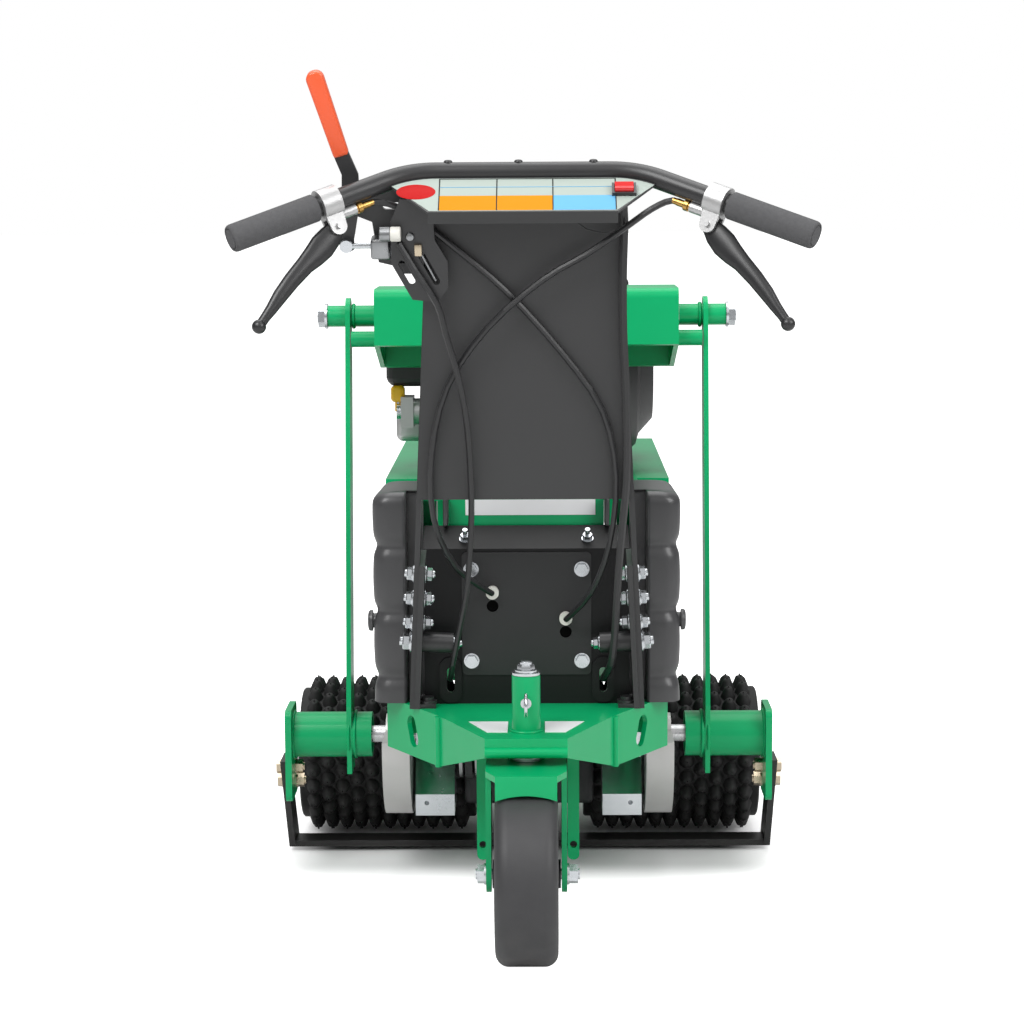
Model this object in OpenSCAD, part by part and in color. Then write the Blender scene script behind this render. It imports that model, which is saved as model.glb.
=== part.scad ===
// Walk-behind sod cutter. Millimetres, Z up, operator at -Y, ground at Z = 0.

/* [Drums] */
// Distance from the datum plane back to the drive axle
axle_back = 104; // [98:1:110]
// Diameter over the knob tips
drum_tip_d = 208; // [196:2:208]
// Height of a rubber knob
knob_h = 17; // [12:1:20]
// Rubber wall under the knobs
tread_wall = 11; // [8:1:16]
// Length of one drum
drum_len = 232; // [220:2:236]
// Gap between the two drums
drum_gap = 144; // [140:2:156]
// Diameter of the drive axle
axle_d = 25; // [20:1:30]
// Rows of knobs round a drum
knob_rows = 50; // [42:4:54]
// Half pitches of knobs along a drum
knob_cols = 12; // [10:2:14]

/* [Caster] */
// Diameter of the caster tyre
wheel_d = 204; // [190:2:206]
// Width of the caster tyre
wheel_w = 70; // [56:2:72]
// Rubber thickness of the tyre
tyre_wall = 24; // [16:1:32]
// Distance from the datum plane back to the swivel axis
swivel_back = 658; // [652:1:664]
// Trail of the caster axle behind the swivel axis
trail = 45; // [38:1:48]
// Diameter of the swivel stem
stem_d = 20; // [16:1:22]
// Outer diameter of the swivel tube
swivel_d = 32; // [30:1:36]
// Diameter of the caster axle
wheel_axle_d = 12; // [10:1:16]

/* [Frame] */
// Thickness of the frame plate
plate = 6; // [5:0.5:7]
// Height of the frame's top face
frame_top = 255; // [254:1:262]
// Height of the side rails
rail_h = 44; // [38:1:44]
// Half distance between the side rails
rail_x = 126; // [122:1:128]
// Half width of the rear frame at its front end
facet_x = 168; // [164:1:172]
// Half width of the rear frame at its corner
corner_x = 102; // [98:1:106]
// Half width of the nose
nose_x = 46; // [44:1:48]
// Drop of the tall facets below the frame top
facet_drop = 60; // [54:1:62]
// Drop of the nose edge below the frame top
nose_drop = 22; // [18:1:23]
// Distance from the datum plane forward to the ends of the rails
rail_front = 300; // [280:5:330]
// Reach of the front guard ahead of the datum plane
guard_front = 412; // [390:2:440]
// Diameter of the guard tube
guard_d = 27; // [22:1:32]

/* [Blade] */
// Distance from the datum plane back to the blade shaft
shaft_back = 300; // [297:1:304]
// Height of the blade shaft
shaft_z = 172; // [169:1:176]
// Diameter of the blade shaft
shaft_d = 22; // [20:1:25]
// Distance from the datum plane back to the swing arm pivots
pivot_back = 235; // [230:1:240]
// Height of the swing arm pivots
pivot_z = 699; // [690:1:710]
// Diameter of the swing arm pivot bolts
pivot_d = 16; // [12:1:18]
// Inner face of a swing arm from the centre
arm_x = 223; // [219:1:227]
// Thickness of a swing arm
arm_t = 6; // [5:0.5:8]
// Outer diameter of the lower arm tubes
lower_tube_d = 57; // [55:1:62]
// Width over the blade's side plates
blade_w = 628; // [622:1:640]
// Thickness of the blade
blade_t = 8; // [6:0.5:10]
// Ground clearance under the blade
blade_z = 6; // [4:0.5:10]
// Depth of the blade from cutting edge to back
blade_depth = 56; // [48:1:58]
// Distance from the blade shaft forward to the back of the blade
blade_lead = 71; // [66:1:74]
// Sweep radius of the counterweights
weight_r = 100; // [90:1:100]

/* [Body] */
// Half width over the side covers
cover_x = 182; // [180:1:190]
// Height of the side covers' top
cover_top = 508; // [500:1:516]
// Distance from the datum plane back to the rear cover's face
body_back = 510; // [506:1:516]
// Wall of the moulded covers
cover_wall = 4; // [3:0.5:5]
// Height of the engine deck's top face
deck_z = 497; // [490:1:502]
// Half width of the engine deck
deck_x = 178; // [172:1:180]

/* [Handle] */
// Lean of the mast towards the operator, in degrees
mast_lean = 15.4; // [14.5:0.1:16]
// Half spread of the uprights at the foot
foot_x = 138; // [136:1:140]
// Inward slant of an upright, in degrees
mast_slant = 3.1; // [2.8:0.1:3.3]
// Depth of an upright
upright_d = 38; // [32:1:42]
// Diameter of the handlebar tube
bar_d = 22.2; // [20:0.2:25.4]
// Height of the handlebar's cross tube
bar_z = 877; // [870:1:884]
// Slope of the handlebar's plane, in degrees
bar_tilt = 35.4; // [30:0.2:38]
// Turn of the handlebar's arms in its plane, in degrees
bar_turn = 32.8; // [28:0.2:36]
// Bend radius of the handlebar
bar_bend = 100; // [80:2:110]
// Straight half length of the cross tube
bar_half = 94; // [90:1:100]
// Length of an arm beyond its bend
bar_arm = 186; // [178:1:194]
// Diameter of the foam grips
grip_d = 30; // [28:0.5:34]
// Length of the foam grips
grip_len = 102; // [94:1:106]

/* [Engine] */
// Distance from the datum plane back to the crankshaft
crank_back = 60; // [52:1:68]
// Height of the crankshaft above the deck
crank_h = 106; // [102:1:112]
// Diameter of the crankshaft
crank_d = 20; // [18:1:24]
// Diameter of the engine pulley
engine_pulley_d = 84; // [76:1:92]
// Diameter of the blade pulley
blade_pulley_d = 110; // [100:1:116]
// Width of the two pulleys
pulley_w = 24; // [20:1:26]

/* [Hidden] */
$fn = 48;

// Clearances
run_gap = 0.05;
fit_gap = 0.15;
free_gap = 0.4;
swing_gap = 2;

// Places along the machine, measured from the datum plane under the engine
grip_back = 805;
datum_y = (grip_back - guard_front) / 2;
axle_y = -axle_back;
axle_z = drum_tip_d / 2;
wheel_y = -swivel_back - trail;
wheel_z = wheel_d / 2;
facet_y = -471;
corner_y = -swivel_back + 80;
nose_y = -swivel_back - 42;
rail_z = max(frame_top - rail_h, drum_tip_d + swing_gap);
rail_t = 8;
shaft_y = -shaft_back;
pivot_y = -pivot_back;
crank_y = -crank_back;
crank_z = deck_z + crank_h;
belt_x = -75;
hole_d = 9;

// Colours
green = [0.0, 0.52, 0.3];
black = [0.07, 0.07, 0.08];
charcoal = [0.16, 0.16, 0.17];
zinc = [0.72, 0.74, 0.76];
steel = [0.5, 0.51, 0.53];
rubber = [0.1, 0.1, 0.11];

// Moves a piece from the datum frame into the part's frame
module in_place() { translate([0, datum_y, 0]) children(); }

// The same for a piece on the drive axle
module on_axle() { in_place() translate([0, axle_y, 0]) children(); }

// Repeats a piece on both sides of the machine
module both() {
    children();
    mirror([1, 0, 0]) children();
}

// Round bar along X
module rod_x(x0, x1, d) { translate([x0, 0, 0]) rotate([0, 90, 0]) cylinder(d = d, h = x1 - x0); }

// Round bar along Y
module rod_y(y0, y1, d) { translate([0, y1, 0]) rotate([90, 0, 0]) cylinder(d = d, h = y1 - y0); }

// Round bar along Z
module rod_z(z0, z1, d) { translate([0, 0, z0]) cylinder(d = d, h = z1 - z0); }

// Hexagon bar along X
module hex_x(x0, x1, across) {
    translate([x0, 0, 0]) rotate([0, 90, 0]) cylinder(d = across / cos(30), h = x1 - x0, $fn = 6);
}

// Hexagon bar along Z
module hex_z(z0, z1, across) {
    translate([0, 0, z0]) cylinder(d = across / cos(30), h = z1 - z0, $fn = 6);
}

// Block given by its two corners
module block(a, b) { translate(a) cube(b - a); }

// Flat outline in Y and Z, extruded along X
module yz_plate(x0, x1) { translate([x0, 0, 0]) rotate([90, 0, 90]) linear_extrude(x1 - x0) children(); }

// Flat outline in X and Z, extruded along Y
module xz_plate(y0, y1) { translate([0, y1, 0]) rotate([90, 0, 0]) linear_extrude(y1 - y0) children(); }

// Rectangle with round corners
module round_rect(w, h, r) {
    square([w - 2 * r, h], center = true);
    square([w, h - 2 * r], center = true);
    for (sx = [-1, 1], sy = [-1, 1])
        translate([sx * (w / 2 - r), sy * (h / 2 - r)]) circle(r);
}

// Slot with round ends along its own x direction
module slot(l, w) {
    square([l - w, w], center = true);
    for (s = [-1, 1]) translate([s * (l - w) / 2, 0]) circle(d = w);
}

// Block with all edges rounded, given by its two corners
module soft_block(a, b, r) {
    hull() for (x = [a.x + r, b.x - r], y = [a.y + r, b.y - r], z = [a.z + r, b.z - r])
        translate([x, y, z]) sphere(r, $fn = 16);
}

// Rear frame: top plate, two bent facets on each side, legs ahead of the caster
facet_z = frame_top - facet_drop;
nose_z = frame_top - nose_drop;
leg_y = -450;
leg_x = 48;
leg_w = 14;
leg_z = 50;
bead_d = 9;

// Upright plate between two plan points whose lower edge runs from za to zb
module facet(a, b, za, zb) {
    run = b - a;
    len = norm(run);
    translate([a.x, a.y, 0]) rotate([0, 0, atan2(run.y, run.x)])
        rotate([90, 0, 0]) translate([0, 0, -plate]) linear_extrude(plate)
            polygon([[0, za], [len, zb], [len, frame_top - plate], [0, frame_top - plate]]);
}

module rear_frame() color(green) in_place() {
    difference() {
        union() {
            translate([0, 0, frame_top - plate]) linear_extrude(plate) polygon([
                [-facet_x, facet_y], [-corner_x, corner_y], [-nose_x, nose_y],
                [nose_x, nose_y], [corner_x, corner_y], [facet_x, facet_y]
            ]);
            both() {
                difference() {
                    facet([corner_x, corner_y], [facet_x, facet_y], facet_z, facet_z);
                    translate([(corner_x + facet_x) / 2, (corner_y + facet_y) / 2, facet_z + facet_drop / 2])
                        rotate([0, 0, atan2(facet_y - corner_y, facet_x - corner_x)])
                            rotate([90, 0, 0]) rotate([0, 0, 70]) translate([0, 0, -20])
                                linear_extrude(40) slot(38, 20);
                }
                facet([nose_x, nose_y], [corner_x, corner_y], nose_z, facet_z);
                translate([corner_x, corner_y, 0]) rod_z(facet_z, frame_top - 1, bead_d);
                block([rail_x, facet_y, rail_z], [facet_x, facet_y + plate, frame_top]);
                leg();
            }
            block([-nose_x, nose_y, nose_z], [nose_x, nose_y + plate, frame_top]);
            translate([0, nose_y, nose_z + plate]) rod_x(-nose_x, nose_x, 2 * plate);
            block([-rail_x, facet_y, frame_top - plate], [rail_x, facet_y + 2 * plate, frame_top]);
        }
        translate([0, -swivel_back, 0]) rod_z(nose_z - plate, frame_top + 1, swivel_d + 2 * fit_gap);
    }
}

// Leg with a round foot and a hole, and the bracket that carries it from the top plate
module leg() {
    difference() {
        union() {
            block([leg_x, leg_y - plate, leg_z + leg_w / 2], [leg_x + leg_w, leg_y, frame_top]);
            translate([leg_x + leg_w / 2, 0, leg_z + leg_w / 2]) translate([0, leg_y, 0]) rod_y(-plate, 0, leg_w);
            block([leg_x, leg_y - plate, frame_top - plate], [leg_x + leg_w, facet_y + 2 * plate, frame_top]);
            block([leg_x, facet_y, frame_top - plate], [leg_x + leg_w, leg_y, frame_top]);
        }
        translate([leg_x + leg_w / 2, leg_y, leg_z + 19]) rod_y(-plate - 1, 1, hole_d);
    }
}

// Swivel tube, welded through the nose
swivel_top = frame_top + 64;
pin_z = frame_top + 36;
pin_d = 7;
module swivel_tube() color(green) in_place() translate([0, -swivel_back, 0])
    difference() {
        rod_z(nose_z, swivel_top, swivel_d);
        rod_z(nose_z - 1, swivel_top + 1, stem_d + 2 * run_gap);
        translate([0, 0, pin_z]) rod_y(-swivel_d, 0, pin_d + 2 * run_gap);
    }

// Side rails with their cross plates
cross_y = 46;
module rails() color(green) in_place() {
    both() block([rail_x, facet_y + plate, rail_z], [rail_x + rail_t, rail_front, frame_top]);
    block([-rail_x, axle_y - cross_y, rail_z], [rail_x, axle_y + cross_y, rail_z + plate]);
    block([-rail_x, rail_front - plate, rail_z], [rail_x, rail_front, frame_top]);
}

// Drive axle and the steel drums keyed to it
core_r = drum_tip_d / 2 - knob_h - tread_wall;
core_wall = 5;
drum_in = drum_gap / 2;
drum_out = drum_in + drum_len;
hub_r = axle_d / 2 + 14;
axle_end = 10;
module axle_shaft() color(steel) on_axle() translate([0, 0, axle_z]) {
    rod_x(-drum_out - axle_end, drum_out + axle_end, axle_d);
}

// Drum profile in radius and length: rim, two webs and a hub
module drum_core() {
    rotate([0, 90, 0]) rotate_extrude() {
        translate([core_r - core_wall, 0]) square([core_wall, drum_len]);
        for (x = [core_wall * 2, drum_len - core_wall * 3])
            translate([axle_d / 2 + fit_gap, x]) square([core_r - core_wall / 2 - axle_d / 2, core_wall]);
        translate([axle_d / 2 + fit_gap, 0]) square([hub_r - axle_d / 2, drum_len]);
    }
}

module drum_cores() color(charcoal) on_axle() both() translate([drum_in, 0, axle_z]) drum_core();

// Knobbed sleeve: each knob stands on a diamond of four valley points, with a waist and a blunt tip
knob_ring = [0.62, 0.25];
ring_rise = [0.55, 1];
valley_r = drum_tip_d / 2 - knob_h;
half_rows = knob_rows / 2;
bore_r = (core_r + fit_gap) / cos(180 / half_rows);
knob_step = drum_len / knob_cols;

function tread_point(i, j, r) =
    let (a = 270 + 360 * i / knob_rows)
    [j * knob_step, r * cos(a), r * sin(a)];
function valley(i, j) = j * half_rows + floor(((i + knob_rows) % knob_rows) / 2);
function knob_base(i, j) = (knob_cols + 1) * half_rows + 8 * ((j - 1) * half_rows + floor(i / 2));
function ring_end(k, j) = j * half_rows + k % half_rows;
bore_base = (knob_cols + 1) * half_rows + 8 * (knob_cols - 1) * half_rows;
function bore(k, e) = bore_base + e * half_rows + k % half_rows;

tread_points = concat(
    [for (j = [0 : knob_cols], k = [0 : half_rows - 1]) tread_point(2 * k + (j + 1) % 2, j, valley_r)],
    [for (j = [1 : knob_cols - 1], k = [0 : half_rows - 1], n = [0, 1], c = [0 : 3])
        let (i = 2 * k + j % 2, w = knob_ring[n])
        tread_point(i + w * [-1, 0, 1, 0][c], j + w * [0, -1, 0, 1][c], valley_r + ring_rise[n] * knob_h)],
    [for (e = [0, 1], k = [0 : half_rows - 1]) tread_point(2 * k + 1, e * knob_cols, bore_r)]
);

tread_faces = concat(
    [for (j = [1 : knob_cols - 1], k = [0 : half_rows - 1])
        let (b = knob_base(2 * k + j % 2, j))
        each [[b + 7, b + 6, b + 5], [b + 7, b + 5, b + 4]]],
    [for (j = [1 : knob_cols - 1], k = [0 : half_rows - 1], c = [0 : 3])
        let (
            i = 2 * k + j % 2,
            b = knob_base(i, j),
            corner = [valley(i - 1, j), valley(i, j - 1), valley(i + 1, j), valley(i, j + 1)],
            d = (c + 1) % 4
        )
        each [
            [corner[c], b + c, b + d], [corner[c], b + d, corner[d]],
            [b + c, b + 4 + c, b + 4 + d], [b + c, b + 4 + d, b + d]
        ]],
    [for (k = [0 : half_rows - 1])
        let (i = 2 * k)
        each [
            [valley(i - 1, 0), valley(i, 1), valley(i + 1, 0)],
            [valley(i - 1, knob_cols), valley(i + 1, knob_cols), valley(i, knob_cols - 1)]
        ]],
    [for (k = [0 : half_rows - 1])
        each [
            [ring_end(k, 0), ring_end(k + 1, 0), bore(k + 1, 0)],
            [ring_end(k, 0), bore(k + 1, 0), bore(k, 0)],
            [ring_end(k, knob_cols), bore(k, 1), bore(k + 1, 1)],
            [ring_end(k, knob_cols), bore(k + 1, 1), ring_end(k + 1, knob_cols)],
            [bore(k, 0), bore(k + 1, 0), bore(k + 1, 1)],
            [bore(k, 0), bore(k + 1, 1), bore(k, 1)]
        ]]
);

module tread() translate([drum_in, 0, axle_z]) polyhedron(tread_points, tread_faces);
module left_tread() color(rubber) on_axle() mirror([1, 0, 0]) tread();
module right_tread() color(rubber) on_axle() tread();

// Caster: fork with a bent lip, stem, axle bolt, hub and solid tyre
fork_t = 6;
fork_x = wheel_w / 2 + 4;
crown_gap = 10;
crown_top = nose_z - crown_gap;
crown_t = 7;
lip_x = 34;
lip_back = 87;
cheek_front = 37;
cheek_back = 62;
cheek_foot = 20;
module caster_fork() color(green) in_place() translate([0, -swivel_back, 0]) {
    translate([0, 0, crown_top - crown_t]) linear_extrude(crown_t) polygon([
        [-fork_x - fork_t, cheek_front], [fork_x + fork_t, cheek_front],
        [fork_x + fork_t, -cheek_back], [lip_x, -lip_back], [-lip_x, -lip_back], [-fork_x - fork_t, -cheek_back]
    ]);
    difference() {
        block([-lip_x, -lip_back, crown_top - 28], [lip_x, -lip_back + fork_t, crown_top]);
        translate([0, 0, crown_top - 22 - 99]) rod_y(-lip_back - 1, -lip_back + fork_t + 1, 2 * 99);
    }
    both() difference() {
        yz_plate(fork_x, fork_x + fork_t) {
            polygon([
                [cheek_front, crown_top - 0.5], [-cheek_back, crown_top - 0.5],
                [-trail - cheek_foot, wheel_z], [-trail + cheek_foot, wheel_z]
            ]);
            translate([-trail, wheel_z]) circle(cheek_foot);
        }
        translate([0, -trail, wheel_z]) rod_x(fork_x - 1, fork_x + fork_t + 1, wheel_axle_d + 2 * fit_gap);
    }
}

module caster_stem() color(zinc) in_place() translate([0, -swivel_back, 0]) {
    rod_z(crown_top, swivel_top + 14, stem_d);
    rod_z(crown_top, nose_z - free_gap, swivel_d + 10);
    rod_z(swivel_top + free_gap, swivel_top + 5, swivel_d + 2);
    hex_z(swivel_top + 5, swivel_top + 16, 24);
}

module caster_axle() color(zinc) in_place() translate([0, wheel_y, wheel_z]) {
    out = fork_x + fork_t;
    rod_x(-out - 12, out + 14, wheel_axle_d);
    both() rod_x(out, out + 2.5, wheel_axle_d * 2);
    hex_x(out + 2.5, out + 12, 19);
    hex_x(-out - 10, -out - 2.5, 19);
}

hub_r0 = wheel_d / 2 - tyre_wall;
module caster_hub() color(charcoal) in_place() translate([0, wheel_y, wheel_z]) rotate([0, 90, 0]) rotate_extrude() {
    in = wheel_axle_d / 2 + run_gap;
    translate([in, -fork_x + 1]) square([10, 2 * fork_x - 2]);
    translate([in + 9, -8]) square([hub_r0 - in - 9, 16]);
    translate([hub_r0 - 8, -wheel_w / 2 + 4]) square([8, wheel_w - 8]);
}

shoulder = min(15, tyre_wall - 4);
module caster_tyre() color(rubber) in_place() translate([0, wheel_y, wheel_z]) difference() {
    rotate([0, 90, 0]) rotate_extrude() {
        in = hub_r0 - shoulder;
        out = wheel_d / 2;
        translate([in, -wheel_w / 2]) square([out - shoulder - in, wheel_w]);
        translate([in, -wheel_w / 2 + shoulder]) square([out - in, wheel_w - 2 * shoulder]);
        for (s = [-1, 1]) translate([out - shoulder, s * (wheel_w / 2 - shoulder)]) circle(shoulder);
    }
    rod_x(-wheel_w, wheel_w, 2 * (hub_r0 + fit_gap));
}

// Ring handle and pin that locks the caster, parked clear of the stem
module lock_pin() color(zinc) in_place() translate([0, -swivel_back, pin_z]) {
    back = swivel_d / 2 + 8;
    rod_y(-back, -stem_d / 2 - 1, pin_d);
    translate([0, -back - 10, 0]) rotate([0, 90, 0]) rotate_extrude() translate([12, 0]) circle(1.8);
    rod_y(-back - 1, -back + 3, pin_d + 5);
}

// Blade carrier: two arms hang from the pivots, with the blade bolted across their feet
sleeve_d = pivot_d + 11;
sleeve_in = 193;
sleeve_out = 252;
end_t = 8;
end_out = blade_w / 2 - blade_t;
end_in = end_out - end_t;
tube_in = 198;
lower_bore = 48;
arm_top = pivot_z + 23;
arm_low = shaft_z - 46;
end_low = 92;
end_high = 209;
blade_holes = [[24, 107], [10, 128]];
blade_bolt_d = 10;
module swing_arm() difference() {
    union() {
        yz_plate(arm_x, arm_x + arm_t) {
            polygon([
                [shaft_y - 26, arm_low], [shaft_y + 26, arm_low], [shaft_y + 26, shaft_z + 40],
                [pivot_y + 19, arm_top - 19], [pivot_y - 19, arm_top - 19], [shaft_y - 26, shaft_z + 40]
            ]);
            translate([pivot_y, arm_top - 19]) circle(19);
        }
        translate([0, pivot_y, pivot_z]) rod_x(sleeve_in, sleeve_out, sleeve_d);
        translate([0, shaft_y, shaft_z]) rod_x(tube_in, end_in + 1, lower_tube_d);
        yz_plate(end_in, end_out)
            translate([shaft_y, (end_low + end_high) / 2]) round_rect(76, end_high - end_low, 10);
    }
    translate([0, pivot_y, pivot_z]) rod_x(sleeve_in - 1, sleeve_out + 1, pivot_d + 2 * run_gap);
    translate([0, shaft_y, shaft_z]) rod_x(tube_in - 1, end_in, lower_bore);
    for (p = blade_holes) translate([0, shaft_y + p.x, p.y])
        rod_x(end_in - 1, end_out + 1, blade_bolt_d + 2 * fit_gap);
}
module swing_arms() color(green) in_place() both() swing_arm();

// U-shaped blade with a ground front edge
blade_back = shaft_y + blade_lead;
blade_front = blade_back + blade_depth;
blade_edge = 18;
blade_top = 142;
module blade() color(charcoal) in_place() {
    half = blade_w / 2;
    yz_plate(-half, half) polygon([
        [blade_back, blade_z], [blade_front, blade_z], [blade_front - blade_edge, blade_z + blade_t],
        [blade_back, blade_z + blade_t]
    ]);
    both() difference() {
        yz_plate(end_out, half) polygon([
            [blade_back, blade_z], [blade_front, blade_z], [shaft_y + 26, blade_top], [shaft_y - 26, blade_top]
        ]);
        for (p = blade_holes) translate([0, shaft_y + p.x, p.y])
            rod_x(end_out - 1, half + 1, blade_bolt_d + 2 * fit_gap);
    }
}

module blade_bolts() color([0.75, 0.65, 0.35]) in_place() both()
for (p = blade_holes) translate([0, shaft_y + p.x, p.y]) {
    half = blade_w / 2;
    rod_x(end_in - 12, half + 2, blade_bolt_d);
    rod_x(half, half + 2, 20);
    hex_x(half + 2, half + 8, 16);
    rod_x(end_in - 2, end_in, 20);
    hex_x(end_in - 10, end_in - 2, 16);
}

// Blade shaft with its pulley, counterweights and bearing blocks
groove = 9;
module pulley(d, bore_d) rotate([0, 90, 0]) rotate_extrude() polygon([
    [bore_d / 2, -pulley_w / 2], [d / 2, -pulley_w / 2], [d / 2, -pulley_w / 2 + 4],
    [d / 2 - groove, -3], [d / 2 - groove, 3],
    [d / 2, pulley_w / 2 - 4], [d / 2, pulley_w / 2], [bore_d / 2, pulley_w / 2]
]);
shaft_end = end_in - 8;
module blade_shaft() color(steel) in_place() translate([0, shaft_y, shaft_z]) {
    rod_x(-shaft_end, shaft_end, shaft_d);
    translate([belt_x, 0, 0]) pulley(blade_pulley_d, shaft_d - 2);
    both() rod_x(tube_in + 10, shaft_end, shaft_d + 6);
}

weight_in = 146;
weight_out = 180;
module counterweights() color(zinc) in_place() both() translate([0, shaft_y, shaft_z]) difference() {
    union() {
        yz_plate(weight_in, weight_out) intersection() {
            circle(weight_r);
            polygon([[-weight_r, 10], [weight_r, 10], [weight_r, -weight_r], [-weight_r, -weight_r]]);
        }
        rod_x(weight_in, weight_out, 52);
    }
    rod_x(weight_in - 1, weight_out + 1, shaft_d + 2 * fit_gap);
}

block_in = 93;
block_out = 142;
block_z = 77;
module bearing_blocks() color(zinc) in_place() both() difference() {
    yz_plate(block_in, block_out) polygon([
        [shaft_y - 20, rail_z], [shaft_y - 20, shaft_z - 26], [shaft_y - 45, block_z + 27], [shaft_y - 45, block_z],
        [shaft_y + 34, block_z], [shaft_y + 34, rail_z]
    ]);
    translate([0, shaft_y, shaft_z]) rod_x(block_in - 1, block_out + 1, shaft_d + 2 * run_gap);
    translate([block_out - 14, shaft_y - 45, block_z + 16]) rod_y(-1, 12, 6);
}

// Cast transaxle between the drums, hung from the cross plate
case_x = drum_in - 6;
case_back = -125;
module transaxle_case() color(charcoal) on_axle() difference() {
    union() {
        translate([0, 0, axle_z]) rod_x(-case_x, case_x, 124);
        soft_block([-84, case_back, 62], [84, -drum_tip_d / 2 - swing_gap, 186], 7);
        block([-case_x + 8, case_back + 9, 76], [case_x - 8, 0, 180]);
        for (x = [-48, -16, 16, 48]) block([x - 4, -64, axle_z], [x + 4, 58, rail_z - 8]);
        block([-case_x + 4, -40, rail_z - 14], [case_x - 4, 40, rail_z]);
        translate([0, 0, axle_z]) both() rod_x(case_x - 1, drum_in - 2, axle_d + 22);
    }
    translate([0, 0, axle_z]) rod_x(-drum_in, drum_in, axle_d + 2 * run_gap);
}
// Engine deck: bent plate with a belt slot and a short rear flange
deck_t = 6;
deck_back = facet_y + 7;
deck_front = 200;
deck_wide_y = -292;
deck_narrow = 138;
flange_x = 92;
slot_x = [belt_x - 22, belt_x + 22];
slot_y = [-182, -36];
module engine_deck() color(green) in_place() {
    difference() {
        translate([0, 0, deck_z - deck_t]) linear_extrude(deck_t) polygon([
            [-deck_narrow, deck_back], [deck_narrow, deck_back], [deck_narrow, deck_wide_y],
            [deck_x, deck_wide_y], [deck_x, deck_front], [-deck_x, deck_front],
            [-deck_x, deck_wide_y], [-deck_narrow, deck_wide_y]
        ]);
        block([slot_x[0], slot_y[0], deck_z - deck_t - 1], [slot_x[1], slot_y[1], deck_z + 1]);
    }
    block([-flange_x, deck_back - deck_t, deck_z - 44], [flange_x, deck_back, deck_z]);
    both() block([deck_x - deck_t, deck_wide_y, deck_z - 26], [deck_x, deck_front, deck_z - deck_t]);
}

// Pivot beam over the engine: folded channel with end plates and stop pegs
beam_x = 190;
beam_y = [pivot_y - 58, pivot_y + 58];
beam_top = pivot_z + 36;
beam_rear_low = pivot_z - 34;
beam_front_low = pivot_z - 70;
beam_t = 6;
beam_r = 12;
peg_z = pivot_z - 28;
peg_d = 20;
peg_back = 24;

// Channel outline grown inward by a wall
module beam_outline(inset) {
    r = beam_r - inset;
    a = beam_y[0] + inset;
    b = beam_y[1] - inset;
    top = beam_top - inset;
    polygon([
        [a, beam_rear_low - inset], [b, beam_front_low - inset], [b, top - r], [b - r, top],
        [a + r, top], [a, top - r]
    ]);
    for (y = [a + r, b - r]) translate([y, top - r]) circle(r);
}
module pivot_beam() color(green) in_place() difference() {
    union() {
        yz_plate(-beam_x, beam_x) difference() {
            beam_outline(0);
            beam_outline(beam_t);
        }
        both() yz_plate(beam_x - beam_t, beam_x) beam_outline(0);
        both() translate([0, pivot_y - peg_back, peg_z]) rod_x(beam_x - 1, arm_x - swing_gap, peg_d);
    }
    both() translate([0, pivot_y, pivot_z]) rod_x(beam_x - beam_t - 1, beam_x + 1, pivot_d + 2 * fit_gap);
}

module pivot_bolts() color(zinc) in_place() both() translate([0, pivot_y, pivot_z]) {
    rod_x(beam_x - beam_t - 14, sleeve_out + 13, pivot_d);
    hex_x(beam_x - beam_t - 12, beam_x - beam_t, pivot_d * 1.5);
    rod_x(beam_x, sleeve_in - free_gap, pivot_d * 2);
    rod_x(sleeve_out + free_gap, sleeve_out + 3.5, pivot_d * 2);
    hex_x(sleeve_out + 3.5, sleeve_out + 12, pivot_d * 1.5);
}

// Box posts: four from the rails to the deck, two from the deck to the beam
post_wall = 4;
module box_post(a, b) difference() {
    block(a, b);
    block(a + [post_wall, post_wall, -1], b - [post_wall, post_wall, -1]);
}
post_x = [rail_x + rail_t - 26, rail_x + rail_t];
post_y = [-440, 130];
beam_post_x = [82, 120];
module posts() color(green) in_place() both() {
    for (y = post_y) box_post([post_x[0], y, frame_top], [post_x[1], y + 36, deck_z - deck_t]);
    box_post([beam_post_x[0], beam_y[0] + beam_r + 1, deck_z], [beam_post_x[1], beam_y[0] + beam_r + 31, beam_top - beam_t]);
}

// Front guard: bent tube on the ends of the rails
guard_bend = 60;
guard_x = rail_x + rail_t / 2;
guard_z = rail_z + rail_h / 2;
module front_guard() color(black) in_place() translate([0, 0, guard_z]) {
    mid = guard_front - guard_d / 2;
    both() {
        translate([guard_x, 0, 0]) rod_y(rail_front, mid - guard_bend, guard_d);
        translate([guard_x - guard_bend, mid - guard_bend, 0])
            rotate_extrude(angle = 90) translate([guard_bend, 0]) circle(d = guard_d);
    }
    translate([0, mid, 0]) rod_x(guard_bend - guard_x, guard_x - guard_bend, guard_d);
}

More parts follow.
